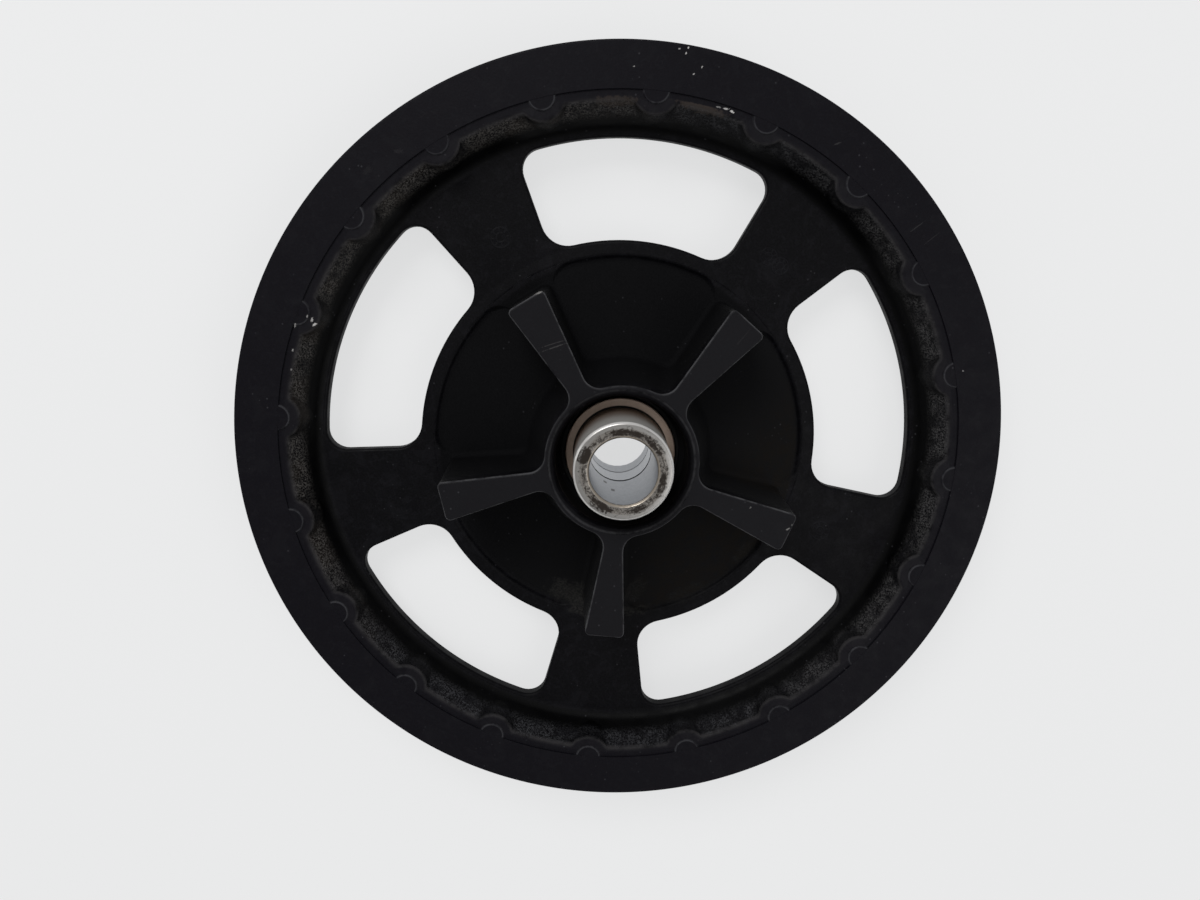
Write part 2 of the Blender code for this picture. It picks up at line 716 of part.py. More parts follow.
def make_retaining_ring():
    """Open spring ring with an eye at each end, in the groove behind the bearing."""
    material = make_material("phosphated_spring_steel", (0.03, 0.03, 0.032), 0.45, 0.9)
    top = BEARING_BOTTOM - 2 * FIT_GAP
    bottom = top - RING_THICK
    outer = BEARING_RADIUS + RING_GROOVE_DEPTH - FIT_GAP
    inner = outer - RING_BAND
    start = RING_GAP_HALF_ANGLE
    end = 2 * math.pi - start
    outside = [polar(outer, start + (end - start) * i / 30) for i in range(31)]
    inside = [polar(inner, start + (end - start) * i / 30) for i in range(3, 28)]
    ear = inner - 1.8
    tail = [
        polar(inner, end - math.radians(16)),
        polar(ear, end - math.radians(13)),
        polar(ear, end - math.radians(3)),
        polar(inner, end - math.radians(0.5)),
    ]
    head = [
        polar(inner, start + math.radians(0.5)),
        polar(ear, start + math.radians(3)),
        polar(ear, start + math.radians(13)),
        polar(inner, start + math.radians(16)),
    ]
    outline = outside + list(reversed(tail)) + list(reversed(inside[0:])) + list(reversed(head))
    rings = [[(x, y, z) for x, y in outline] for z in (bottom, top)]
    ring = loft("retaining_ring", rings, material)
    eyes = []
    for side in (1, -1):
        x, y = polar(ear + 2.0, side * (start + math.radians(8)))
        circle = arc(x, y, 1.1, 0.0, 2 * math.pi, 8)[:-1]
        eyes.append(loft("ring_eye_cutter", [[(a, b, z) for a, b in circle] for z in (bottom - 1, top + 1)]))
    for eye in eyes:
        boolean(ring, eye, "DIFFERENCE")
    smooth(ring)
    return ring


def make_dust_seal(rubber):
    """Lip seal between the hub and the outer spacer."""
    outer = BEARING_RADIUS - FIT_GAP
    ring_low = BEARING_BOTTOM - 2 * FIT_GAP - RING_THICK
    top = ring_low - 2 * FIT_GAP
    bottom = top - DUST_SEAL_HEIGHT
    lip = OUTER_SPACER_RADIUS + RUN_GAP
    profile = [
        (outer - DUST_SEAL_WALL, top),
        (outer - 0.4, top),
        (outer, top - 0.4),
        (outer, bottom),
        (lip, bottom),
        (lip, bottom + DUST_LIP_HEIGHT * 0.5),
        (lip + 1.2, bottom + DUST_LIP_HEIGHT),
        (outer - DUST_SEAL_WALL, bottom + DUST_LIP_HEIGHT),
    ]
    seal = revolve("dust_seal", profile, PIECE_STEPS, rubber)
    smooth(seal)
    return seal


def build():
    """Make every piece of the pulley."""
    clear_scene()
    race_steel = make_material("bearing_steel", (0.55, 0.55, 0.56), 0.22, 1.0)
    spacer_steel = make_material("turned_steel", (0.42, 0.40, 0.38), 0.38, 1.0)
    rubber = make_material("black_rubber", (0.012, 0.012, 0.012), 0.7, 0.0)
    aluminium = make_material("black_coated_aluminium", (0.012, 0.012, 0.014), 0.42, 0.0)
    hub = make_hub(aluminium)
    for piece in (make_web(aluminium), make_rim(aluminium)):
        piece.parent = hub
    make_outer_race(race_steel)
    make_bearing_seal("bearing_front_seal", BEARING_TOP, -1.0, rubber)
    make_bearing_seal("bearing_rear_seal", BEARING_BOTTOM, 1.0, rubber)
    make_retaining_ring()
    make_dust_seal(rubber)
    middle = (BEARING_TOP + BEARING_BOTTOM) / 2
    turning = [make_inner_race(race_steel), make_sleeve(spacer_steel), make_outer_spacer(spacer_steel)]
    turning.append(make_cage())
    turning += make_balls(race_steel)
    for piece in turning:
        set_origin(piece, 0.0, 0.0, middle)
        piece.parent = hub


build()
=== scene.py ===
# %% [markdown]
# # A rear belt drive pulley, dressed for its photograph
# The pulley lies on the rear face of its rim with the five drive lugs up. The imported solids give every
# size, so this lesson starts by loading them.

import json
import math

import bmesh
import bpy
from mathutils import Matrix, Vector


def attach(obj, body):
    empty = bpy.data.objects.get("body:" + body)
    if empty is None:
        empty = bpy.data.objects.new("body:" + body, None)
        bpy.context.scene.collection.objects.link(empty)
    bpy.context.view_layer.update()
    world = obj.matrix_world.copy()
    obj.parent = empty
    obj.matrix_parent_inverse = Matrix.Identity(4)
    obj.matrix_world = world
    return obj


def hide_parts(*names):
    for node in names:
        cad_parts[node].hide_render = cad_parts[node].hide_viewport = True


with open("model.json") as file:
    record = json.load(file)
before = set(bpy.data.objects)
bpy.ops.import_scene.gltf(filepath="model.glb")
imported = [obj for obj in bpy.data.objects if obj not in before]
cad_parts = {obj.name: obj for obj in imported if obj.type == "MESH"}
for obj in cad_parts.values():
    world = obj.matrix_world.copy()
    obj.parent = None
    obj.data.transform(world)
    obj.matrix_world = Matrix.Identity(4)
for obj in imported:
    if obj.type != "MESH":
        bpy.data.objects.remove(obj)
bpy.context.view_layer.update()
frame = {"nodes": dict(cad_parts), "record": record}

# %% [markdown]
# ## The sizes that the finer shapes share with the solids
# All lengths are in millimetres and become metres when a shape is made. The rim's rear face is height 0.

# %% Named sizes
MM = 0.001
TOOTH_COUNT = 68
TIP_RADIUS = TOOTH_COUNT * 14.0 / (2 * math.pi) - 1.37
GROOVE_DEPTH = 6.0
FLANGE_RADIUS = TIP_RADIUS + 4.85
RIM_HEIGHT = 32.0
FLANGE_THICK = 3.0
LIP_INNER = FLANGE_RADIUS - 17.6
LEDGE_TOP = RIM_HEIGHT - 0.8
LEDGE_INNER = LIP_INNER - 3.4
RIB_COUNT = 20
RIB_CENTRE = LIP_INNER + 0.6
RIB_RADIUS = 9.2
PAD_RADIUS = 5.2
WEB_TOP = RIM_HEIGHT - 15.0
WEB_BOTTOM = WEB_TOP - 6.0
SPOKES = 5
SECTOR = 2 * math.pi / SPOKES
SPOKE_ANGLE = math.radians(120.5)
WINDOW_HALF_ANGLE = math.radians(25.0)
WINDOW_OUTER = 122.2
WINDOW_INNER = 82.8
DISH_RADIUS = 77.0
DISH_RIM_TOP = WEB_TOP + 0.4
DISH_FOOT = (75.2, DISH_RIM_TOP - 2.0)
NECK_FOOT = (37.0, DISH_RIM_TOP + 10.5)
LUG_TOP = RIM_HEIGHT + 26.2
NECK_TOP_RADIUS = 29.4
LUG_DRAFT = 1.1
SEAT_GAP = 0.3
AXLE_BORE = 12.5
BEARING_RADIUS = 26.0
BEARING_TOP = RIM_HEIGHT + 3.0
BEARING_BOTTOM = BEARING_TOP - 15.0
SLEEVE_END = 72.6
SLEEVE_RADIUS = 18.4
SLEEVE_FLANGE_RADIUS = 21.8
SLEEVE_FLANGE_TOP = 38.5
FINE_STEPS = 5 * TOOTH_COUNT
ROUND_STEPS = 160
FAR = 1000.0
print("rim", round(2 * FLANGE_RADIUS, 2), "mm over its flanges")

# %% [markdown]
# ## Helpers for closed meshes
# A turned piece is drawn as half a section, its corners are rounded with a vertex bevel, and it is spun
# round the axle. Spinning the real section keeps every ring true, which a stretched primitive would not.


# %% Spin, loft and repeat
def finish_mesh(name, bm, material, sharp=30.0):
    """Turn a bmesh into an object whose faces look outwards and shade smoothly."""
    bmesh.ops.remove_doubles(bm, verts=bm.verts[:], dist=1e-6)
    bmesh.ops.recalc_face_normals(bm, faces=bm.faces[:])
    mesh = bpy.data.meshes.new(name)
    bm.to_mesh(mesh)
    bm.free()
    item = bpy.data.objects.new(name, mesh)
    bpy.context.scene.collection.objects.link(item)
    if material is not None:
        mesh.materials.append(material)
    for face in mesh.polygons:
        face.use_smooth = True
    mesh.set_sharp_from_angle(angle=math.radians(sharp))
    return item


def turned(name, section, steps, material=None, sharp=30.0):
    """Spin a section of (radius, height, corner size) round the axle, where its ends may touch it."""
    bm = bmesh.new()
    corners = [bm.verts.new((r * MM, 0, z * MM)) for r, z, _ in section]
    bm.faces.new(corners)
    sizes = {}
    for vert, (_, _, size) in zip(corners, section):
        if size:
            sizes.setdefault(size, []).append(vert)
    for size, verts in sizes.items():
        rounds = 2 if size < 0.4 else 4
        bmesh.ops.bevel(bm, geom=verts, offset=size * MM, offset_type="OFFSET", segments=rounds,
                        profile=0.5, affect="VERTICES", material=-1, clamp_overlap=True)
    bmesh.ops.delete(bm, geom=bm.faces[:], context="FACES_ONLY")
    on_axis = [e for e in bm.edges if all(v.co.x < 1e-7 for v in e.verts)]
    bmesh.ops.delete(bm, geom=on_axis, context="EDGES")
    bmesh.ops.spin(bm, geom=bm.verts[:] + bm.edges[:], cent=(0, 0, 0), axis=(0, 0, 1), dvec=(0, 0, 0),
                   angle=2 * math.pi, steps=steps, use_merge=True)
    return finish_mesh(name, bm, material, sharp)


def stacked(bm, rings):
    """Bridge equal rings of (x, y, z) millimetres, lowest first, and cap both ends."""
    loops = []
    for ring in rings:
        verts = [bm.verts.new((x * MM, y * MM, z * MM)) for x, y, z in ring]
        edges = [bm.edges.new((verts[i - 1], verts[i])) for i in range(len(verts))]
        loops.append((verts, edges))
    for (_, low), (_, high) in zip(loops, loops[1:]):
        bmesh.ops.bridge_loops(bm, edges=low + high)
    bm.faces.new(loops[0][0])
    bm.faces.new(loops[-1][0])


def repeat(bm, count, start):
    """Copy everything in a bmesh round the axle."""
    bmesh.ops.rotate(bm, verts=bm.verts[:], cent=(0, 0, 0), matrix=Matrix.Rotation(start, 3, "Z"))
    bmesh.ops.spin(bm, geom=bm.verts[:] + bm.edges[:] + bm.faces[:], cent=(0, 0, 0), axis=(0, 0, 1),
                   dvec=(0, 0, 0), angle=2 * math.pi * (count - 1) / count, steps=count - 1,
                   use_duplicate=True)


def polar(radius, angle):
    return radius * math.cos(angle), radius * math.sin(angle)


def arc(cx, cy, radius, start, end, segments):
    turns = [start + (end - start) * i / segments for i in range(segments + 1)]
    return [(cx + radius * math.cos(a), cy + radius * math.sin(a)) for a in turns]


# %% [markdown]
# ## The casting: rim, web and dish
# On the real part the rim, web, hub and lugs are one aluminium casting, turned on the belt side. The
# body of it is round, so it is one spun section. The corner sizes give the turned edges their small
# breaks and the cast inside of the rim its big soft fillets.

# %% Spin the body
CORE_RADIUS = 18.0
CORE_TOP = 40.0
CORE_BOTTOM = 8.0
body_section = [
    (CORE_RADIUS, CORE_TOP, 0),
    (31.5, CORE_TOP, 0),
    (35.0, 30.4, 0),
    (NECK_FOOT[0] + 1.5, NECK_FOOT[1] - 0.6, 0),
    (DISH_FOOT[0], DISH_FOOT[1], 1.3),
    (DISH_RADIUS, DISH_RIM_TOP, 0.9),
    (WINDOW_INNER - 1.2, WEB_TOP, 0.3),
    (WINDOW_OUTER + 3.0, WEB_TOP, 2.8),
    (WINDOW_OUTER + 6.4, WEB_TOP + 5.8, 2.6),
    (132.2, RIM_HEIGHT - 3.4, 1.9),
    (LEDGE_INNER, LEDGE_TOP, 1.2),
    (LIP_INNER, LEDGE_TOP, 0.12),
    (LIP_INNER + 0.1, RIM_HEIGHT, 0.25),
    (FLANGE_RADIUS, RIM_HEIGHT, 0.9),
    (FLANGE_RADIUS, RIM_HEIGHT - 2.3, 0.5),
    (TIP_RADIUS, RIM_HEIGHT - FLANGE_THICK, 0.3),
    (TIP_RADIUS, FLANGE_THICK, 0.3),
    (FLANGE_RADIUS, 2.3, 0.5),
    (FLANGE_RADIUS, 0.0, 0.9),
    (LIP_INNER + 0.1, 0.0, 0.25),
    (LIP_INNER, 0.8, 0.12),
    (135.6, 0.8, 0.9),
    (133.0, WEB_BOTTOM - 3.0, 2.0),
    (129.8, WEB_BOTTOM, 1.8),
    (DISH_RADIUS + 3.0, WEB_BOTTOM, 1.2),
    (DISH_RADIUS - 1.5, DISH_FOOT[1] - 6.5, 1.2),
    (39.0, NECK_FOOT[1] - 8.0, 2.4),
    (34.6, NECK_FOOT[1] - 11.5, 2.0),
    (33.0, CORE_BOTTOM, 1.0),
    (CORE_RADIUS, CORE_BOTTOM, 0),
]
casting = turned("pulley_body", body_section, FINE_STEPS)
print("body faces", len(casting.data.polygons))

# %% [markdown]
# ## Belt grooves
# The belt's round teeth drop into 68 grooves. One groove is drawn as a rounded trough, stood up between
# the flanges and copied round the axle, so that a single boolean cuts them all.

# %% Groove cutter
ROOT_RADIUS = TIP_RADIUS - GROOVE_DEPTH
BELT_SEAT_LOW = FLANGE_THICK + 0.15
BELT_SEAT_HIGH = RIM_HEIGHT - FLANGE_THICK - 0.15
groove_half = [
    (1.3, ROOT_RADIUS),
    (2.7, ROOT_RADIUS + 0.55),
    (3.7, ROOT_RADIUS + 1.7),
    (4.2, ROOT_RADIUS + 3.2),
    (4.4, TIP_RADIUS - 1.3),
    (4.7, TIP_RADIUS - 0.4),
    (5.3, TIP_RADIUS + 0.25),
    (6.4, TIP_RADIUS + 0.6),
]
groove_outline = [(r, t) for t, r in groove_half] + [(r, -t) for t, r in reversed(groove_half)]
bm = bmesh.new()
stacked(bm, [[(x, y, z) for x, y in groove_outline] for z in (BELT_SEAT_LOW, BELT_SEAT_HIGH)])
repeat(bm, TOOTH_COUNT, math.pi / TOOTH_COUNT)
grooves = finish_mesh("groove_cutter", bm, None)

# %% [markdown]
# ## Windows
# Five rounded windows lighten the web. Their outline has big radii where the spokes run into the hub
# ring, and the cutter flares at both faces so that the cut leaves the rolled edge of a die casting.


# %% Window cutter
def window_outline(grow):
    """A window from above, with its edge moved outwards by a length."""
    outer_round = 8.0
    inner_round = 11.0
    outer_centre = WINDOW_OUTER - outer_round
    inner_centre = WINDOW_INNER + inner_round
    outer_at = WINDOW_HALF_ANGLE - math.asin(outer_round / outer_centre)
    inner_at = WINDOW_HALF_ANGLE - math.asin(inner_round / inner_centre)
    side = WINDOW_HALF_ANGLE + math.pi / 2
    ox, oy = polar(outer_centre, outer_at)
    ix, iy = polar(inner_centre, inner_at)
    half = [polar(WINDOW_OUTER + grow, outer_at * i / 14) for i in range(15)]
    half += arc(ox, oy, outer_round + grow, outer_at, side, 9)[1:]
    half += arc(ix, iy, inner_round + grow, side, inner_at + math.pi, 9)
    half += [polar(WINDOW_INNER - grow, inner_at * (9 - i) / 9) for i in range(1, 10)]
    return half + [(x, -y) for x, y in reversed(half[1:-1])]


EDGE_ROLL = 1.3
window_rings = [(WEB_BOTTOM - 8.0, EDGE_ROLL), (WEB_BOTTOM - 0.02, EDGE_ROLL)]
for step in range(1, 6):
    a = math.pi / 2 * step / 5
    window_rings.append((WEB_BOTTOM + EDGE_ROLL * (1 - math.cos(a)), EDGE_ROLL * (1 - math.sin(a))))
for step in range(5, 0, -1):
    a = math.pi / 2 * step / 5
    window_rings.append((WEB_TOP - EDGE_ROLL * (1 - math.cos(a)), EDGE_ROLL * (1 - math.sin(a))))
window_rings += [(WEB_TOP + 0.02, EDGE_ROLL), (WEB_TOP + 2.2, EDGE_ROLL + 0.6)]
bm = bmesh.new()
stacked(bm, [[(x, y, z) for x, y in window_outline(grow)] for z, grow in window_rings])
repeat(bm, SPOKES, SPOKE_ANGLE + math.pi / SPOKES)
windows = finish_mesh("window_cutter", bm, None)
print("window rings", len(window_rings))

# %% [markdown]
# ## Hub neck and drive lugs
# The lugs push on rubber blocks in the wheel. Neck and lugs share one star outline with tangent fillets.
# The star is stacked from rings: a concave fillet that follows the dish floor, a drafted wall, and a
# rounded top edge, which is what catches the light in the photograph.


# %% Lug star
def star_outline(grow, neck, draft):
    """Neck and lugs from above: both are widened by the draft and by a fillet's growth."""
    end_radius = 70.2 + draft + grow
    root_half = 3.9 + draft + grow
    end_half = 7.9 + draft + grow
    fillet = 6.5 - draft - grow
    corner = max(2.0 + draft + grow, 0.6)
    slope = math.atan2(end_half - root_half, end_radius - 34.0)
    along = (math.cos(slope), math.sin(slope))
    across = (-math.sin(slope), math.cos(slope))
    offset = 34.0 * across[0] + root_half * across[1]
    reach = math.sqrt((neck + grow + fillet) ** 2 - (offset + fillet) ** 2)
    fx = across[0] * (offset + fillet) + along[0] * reach
    fy = across[1] * (offset + fillet) + along[1] * reach
    neck_at = math.atan2(fy, fx)
    cx = end_radius - corner
    cy = (offset - corner - across[0] * cx) / across[1]
    side = slope + math.pi / 2
    half = arc(cx, cy, corner, 0.0, side, 6)
    lug_far = half[-1]
    fillet_arc = list(reversed(arc(fx, fy, fillet, neck_at - math.pi, slope - math.pi / 2, 10)))
    near = fillet_arc[0]
    step_x = (near[0] - lug_far[0]) / 12
    step_y = (near[1] - lug_far[1]) / 12
    half += [(lug_far[0] + step_x * i, lug_far[1] + step_y * i) for i in range(1, 12)]
    half += fillet_arc
    upper = half + [polar(neck + grow, neck_at + (SECTOR / 2 - neck_at) * i / 6) for i in range(1, 7)]
    lower = [(x, -y) for x, y in reversed(upper[:-1])]
    points = []
    for k in range(SPOKES):
        c = math.cos(SPOKE_ANGLE + SECTOR * k)
        s = math.sin(SPOKE_ANGLE + SECTOR * k)
        points += [(x * c - y * s, x * s + y * c) for x, y in lower + upper]
    return points


def floor_height(radius):
    """Height of the sloping dish floor at a distance from the axle."""
    share = (radius - NECK_FOOT[0]) / (DISH_FOOT[0] - NECK_FOOT[0])
    share = min(max(share, -0.05), 1.0)
    return max(NECK_FOOT[1] + share * (DISH_FOOT[1] - NECK_FOOT[1]), 17.0)


FOOT_FILLET = 2.6
TOP_ROUND = 1.0
rings = []
for step in range(-1, 7):
    a = math.pi / 2 * max(step, 0) / 6
    grow = FOOT_FILLET * (1 - math.sin(a))
    lift = FOOT_FILLET * (1 - math.cos(a)) - (3.0 if step < 0 else 0.05)
    outline = star_outline(grow, NECK_FOOT[0] - 0.6, LUG_DRAFT)
    rings.append([(x, y, floor_height(math.hypot(x, y)) + lift) for x, y in outline])
for step in range(7):
    a = math.pi / 2 * step / 6
    outline = star_outline(-TOP_ROUND * (1 - math.cos(a)), NECK_TOP_RADIUS, 0.0)
    rings.append([(x, y, LUG_TOP - TOP_ROUND * (1 - math.sin(a))) for x, y in outline])
bm = bmesh.new()
stacked(bm, rings)
star = finish_mesh("lug_star", bm, None)
print("star points", len(rings[0]))

# %% [markdown]
# ## Feet, ribs and pads
# Each lug stands on a small foot level with the hub ring, which rounds the corners of the dish. Twenty
# ribs line the inside of the rim: the flat ledge bulges inwards over each of them, with a half-moon pad
# on it. A rib is lofted so that its fillets and rounded top follow the ledge; a pad is a bevelled cone.

# %% Feet, ribs and pads
def foot_outline(grow):
    """Foot of a lug at ring level: its sides are the rounded corners of the pockets."""
    ring = DISH_RADIUS - grow
    corner = POCKET_CORNER - grow
    side = 7.9 + LUG_DRAFT + grow
    across = side + corner
    along = math.sqrt((ring - corner) ** 2 - across ** 2)
    turn = math.atan2(across, along)
    half = [polar(DISH_RADIUS + 0.5, turn)] + arc(along, across, corner, turn, -math.pi / 2, 12)
    half.append((along - corner, side - 2.0))
    return [(DISH_RADIUS + 0.5, 0.0)] + half + [(x, -y) for x, y in reversed(half)]


POCKET_CORNER = 8.5
foot_levels = [(DISH_FOOT[1] - 1.2, 2.4), (DISH_FOOT[1] + 0.05, 2.1), (DISH_FOOT[1] + 0.7, 1.3),
               (DISH_RIM_TOP - 0.65, 0.55), (DISH_RIM_TOP - 0.25, 0.15), (DISH_RIM_TOP - 0.04, -0.35)]
bm = bmesh.new()
stacked(bm, [[(x, y, z) for x, y in foot_outline(grow)] for z, grow in foot_levels])
repeat(bm, SPOKES, SPOKE_ANGLE)
feet = finish_mesh("lug_feet", bm, None)


def tongue_outline(grow):
    """A rib from above: its round front runs into the ledge with a soft fillet on each side."""
    tip = RIB_RADIUS + grow
    ledge = LEDGE_INNER - grow
    fillet = 3.2 - grow
    cx = ((ledge - fillet) ** 2 - (tip + fillet) ** 2 + RIB_CENTRE ** 2) / (2 * RIB_CENTRE)
    cy = math.sqrt((ledge - fillet) ** 2 - cx ** 2)
    outward = math.atan2(cy, cx)
    to_rib = math.atan2(-cy, RIB_CENTRE - cx)
    half = arc(cx, cy, fillet, outward, to_rib, 8)
    half += arc(RIB_CENTRE, 0.0, tip, to_rib + math.pi, math.pi, 12)[1:]
    half.insert(0, (LEDGE_INNER + 2.0, half[0][1]))
    return half + [(x, -y) for x, y in reversed(half[:-1])]


RIB_ROUND = 1.5
rib_levels = [(WEB_TOP - 2.0, 2.6), (LEDGE_TOP - 4.0, 0.5)]
for step in range(6):
    a = math.pi / 2 * step / 5
    rib_levels.append((LEDGE_TOP - 0.04 - RIB_ROUND * (1 - math.sin(a)), -RIB_ROUND * (1 - math.cos(a))))
bm = bmesh.new()
stacked(bm, [[(x, y, z) for x, y in tongue_outline(grow)] for z, grow in rib_levels])
repeat(bm, RIB_COUNT, SPOKE_ANGLE)
ribs = finish_mesh("rim_ribs", bm, None)

bm = bmesh.new()
pad_place = Matrix.Translation((RIB_CENTRE * MM, 0, (RIM_HEIGHT - 2.7) * MM))
bmesh.ops.create_cone(bm, cap_ends=True, segments=48, radius1=(PAD_RADIUS + 0.3) * MM,
                      radius2=PAD_RADIUS * MM, depth=5.0 * MM, matrix=pad_place)
top_edges = [e for e in bm.edges if all(v.co.z > (RIM_HEIGHT - 0.3) * MM for v in e.verts)]
bmesh.ops.bevel(bm, geom=top_edges, offset=0.5 * MM, offset_type="OFFSET", segments=4, profile=0.5,
                affect="EDGES", material=-1)
repeat(bm, RIB_COUNT, SPOKE_ANGLE)
pads = finish_mesh("rib_pads", bm, None)
print("ribs", len(ribs.data.polygons))

# %% [markdown]
# ## Hub bore
# The bearing goes in from the rear against a shoulder and a spring ring holds it. From the front only the
# chamfered mouth shows, so the cutter is one more spun section.

# %% Bore cutter
MOUTH_RADIUS = 25.3
SHOULDER_RADIUS = 23.4
RING_GROOVE_RADIUS = 27.7
SEAT_TOP = BEARING_TOP + SEAT_GAP
SEAT_BOTTOM = BEARING_BOTTOM - SEAT_GAP
bore_section = [
    (0.0, LUG_TOP + 3.0, 0),
    (28.1, LUG_TOP + 3.0, 0),
    (28.1, LUG_TOP - 0.5, 0.25),
    (26.1, LUG_TOP - 1.5, 0.35),
    (MOUTH_RADIUS, LUG_TOP - 2.9, 0.3),
    (MOUTH_RADIUS, SEAT_TOP + 4.5, 0),
    (SHOULDER_RADIUS, SEAT_TOP + 3.0, 0),
    (SHOULDER_RADIUS, SEAT_TOP, 0),
    (BEARING_RADIUS, SEAT_TOP, 0),
    (BEARING_RADIUS, SEAT_BOTTOM, 0),
    (RING_GROOVE_RADIUS, SEAT_BOTTOM, 0),
    (RING_GROOVE_RADIUS, SEAT_BOTTOM - 2.2, 0),
    (BEARING_RADIUS, SEAT_BOTTOM - 2.2, 0),
    (BEARING_RADIUS, CORE_BOTTOM + 0.8, 0),
    (BEARING_RADIUS + 1.0, CORE_BOTTOM - 0.2, 0),
    (BEARING_RADIUS + 1.0, CORE_BOTTOM - 3.0, 0),
    (0.0, CORE_BOTTOM - 3.0, 0),
]
bore = turned("bore_cutter", bore_section, ROUND_STEPS)

# %% [markdown]
# ## One casting from all of them
# Exact booleans join the raised shapes and cut the openings. The tools are then removed, and the weighted
# normals keep the flat faces flat next to their rounded edges.


# %% Join and cut
def combine(item, tools):
    for tool, operation in tools:
        modifier = item.modifiers.new(tool.name, "BOOLEAN")
        modifier.object = tool
        modifier.operation = operation
        modifier.solver = "EXACT"
    normals = item.modifiers.new("Flat faces", "WEIGHTED_NORMAL")
    normals.keep_sharp = True
    depsgraph = bpy.context.evaluated_depsgraph_get()
    mesh = bpy.data.meshes.new_from_object(item.evaluated_get(depsgraph))
    item.modifiers.clear()
    mesh.name = item.name
    item.data = mesh
    for tool, _ in tools:
        bpy.data.objects.remove(tool, do_unlink=True)


combine(casting, [(grooves, "DIFFERENCE"), (feet, "UNION"), (star, "UNION"), (ribs, "UNION"), (pads, "UNION"),
                  (windows, "DIFFERENCE"), (bore, "DIFFERENCE")])
triangles = sum(len(face.vertices) - 2 for face in casting.data.polygons)
print("casting triangles", triangles)

# %% [markdown]
# ## Node helpers and shared effects
# Every finish is procedural and reads Object coordinates, in metres. An effect that several finishes use
# is a node group, built once: cast grain, dust specks, edge bands for wear and painted highlights, stains,
# small marks and foundry rings.


# %% Node helpers
def feed(tree, socket, value):
    """Link a socket or set a number."""
    if isinstance(value, bpy.types.NodeSocket):
        tree.links.new(value, socket)
    else:
        socket.default_value = value


def calc(tree, operation, a, b=None):
    node = tree.nodes.new("ShaderNodeMath")
    node.operation = operation
    feed(tree, node.inputs[0], a)
    if b is not None:
        feed(tree, node.inputs[1], b)
    return node.outputs[0]


def chain(tree, operation, values):
    total = values[0]
    for value in values[1:]:
        total = calc(tree, operation, total, value)
    return total


def plus(tree, *values):
    return chain(tree, "ADD", values)


def times(tree, *values):
    """The product of several values, or all of several masks at once."""
    return chain(tree, "MULTIPLY", values)


def most(tree, *values):
    return chain(tree, "MAXIMUM", values)


def minus(tree, a, b):
    return calc(tree, "SUBTRACT", a, b)


def apart(tree, a, b):
    """How far two values are apart."""
    return calc(tree, "ABSOLUTE", minus(tree, a, b))


def span(tree, a, b):
    """Length of the diagonal over two sides."""
    return calc(tree, "SQRT", plus(tree, times(tree, a, a), times(tree, b, b)))


def fade(tree, value, low, high, start=0.0, end=1.0):
    """Map a range of values to 0..1 with a soft step."""
    node = tree.nodes.new("ShaderNodeMapRange")
    node.interpolation_type = "SMOOTHSTEP"
    feed(tree, node.inputs["Value"], value)
    feed(tree, node.inputs["From Min"], low)
    feed(tree, node.inputs["From Max"], high)
    feed(tree, node.inputs["To Min"], start)
    feed(tree, node.inputs["To Max"], end)
    return node.outputs["Result"]


def rise(tree, value, low, high):
    """A mask that comes in between two lengths in millimetres."""
    return fade(tree, value, low * MM, high * MM)


def fall(tree, value, low, high):
    """A mask that goes out between two lengths in millimetres."""
    return fade(tree, value, low * MM, high * MM, 1.0, 0.0)


def noise(tree, vector, scale, detail=4.0, rough=0.55, distortion=0.0):
    node = tree.nodes.new("ShaderNodeTexNoise")
    feed(tree, node.inputs["Vector"], vector)
    feed(tree, node.inputs["Scale"], scale)
    node.inputs["Detail"].default_value = detail
    node.inputs["Roughness"].default_value = rough
    node.inputs["Distortion"].default_value = distortion
    return node.outputs["Fac"]


def blend_colour(tree, mask, under, over):
    node = tree.nodes.new("ShaderNodeMix")
    node.data_type = "RGBA"
    feed(tree, node.inputs["Factor"], mask)
    for socket, value in ((node.inputs[6], under), (node.inputs[7], over)):
        if isinstance(value, bpy.types.NodeSocket):
            tree.links.new(value, socket)
        else:
            socket.default_value = (*value, 1.0)
    return node.outputs[2]


def blend_value(tree, mask, under, over):
    node = tree.nodes.new("ShaderNodeMix")
    node.data_type = "FLOAT"
    for socket, value in zip(node.inputs[0:1] + node.inputs[2:4], (mask, under, over)):
        feed(tree, socket, value)
    return node.outputs[0]


def new_group(name, ins, outs=("Mask",)):
    """A node group with vector sockets where no start value is given, and else float sockets."""
    tree = bpy.data.node_groups.new(name, "ShaderNodeTree")
    for label, start in ins:
        kind = "NodeSocketVector" if start is None else "NodeSocketFloat"
        socket = tree.interface.new_socket(name=label, in_out="INPUT", socket_type=kind)
        if kind == "NodeSocketFloat":
            socket.default_value = start
    for label in outs:
        tree.interface.new_socket(name=label, in_out="OUTPUT", socket_type="NodeSocketFloat")
    return tree, tree.nodes.new("NodeGroupInput").outputs, tree.nodes.new("NodeGroupOutput").inputs


def use_group(tree, group, **values):
    node = tree.nodes.new("ShaderNodeGroup")
    node.node_tree = group
    for label, value in values.items():
        feed(tree, node.inputs[label.replace("_", " ")], value)
    return node.outputs


# %% Grain and specks
grain_group, given, made = new_group("cast_grain", [("Vector", None), ("Scale", 1500.0)],
                                     ("Height", "Mottle"))
fine = noise(grain_group, given["Vector"], given["Scale"], 3.0, 0.6)
coarse = noise(grain_group, given["Vector"], times(grain_group, given["Scale"], 0.09), 2.0)
grain_group.links.new(fine, made["Height"])
grain_group.links.new(coarse, made["Mottle"])

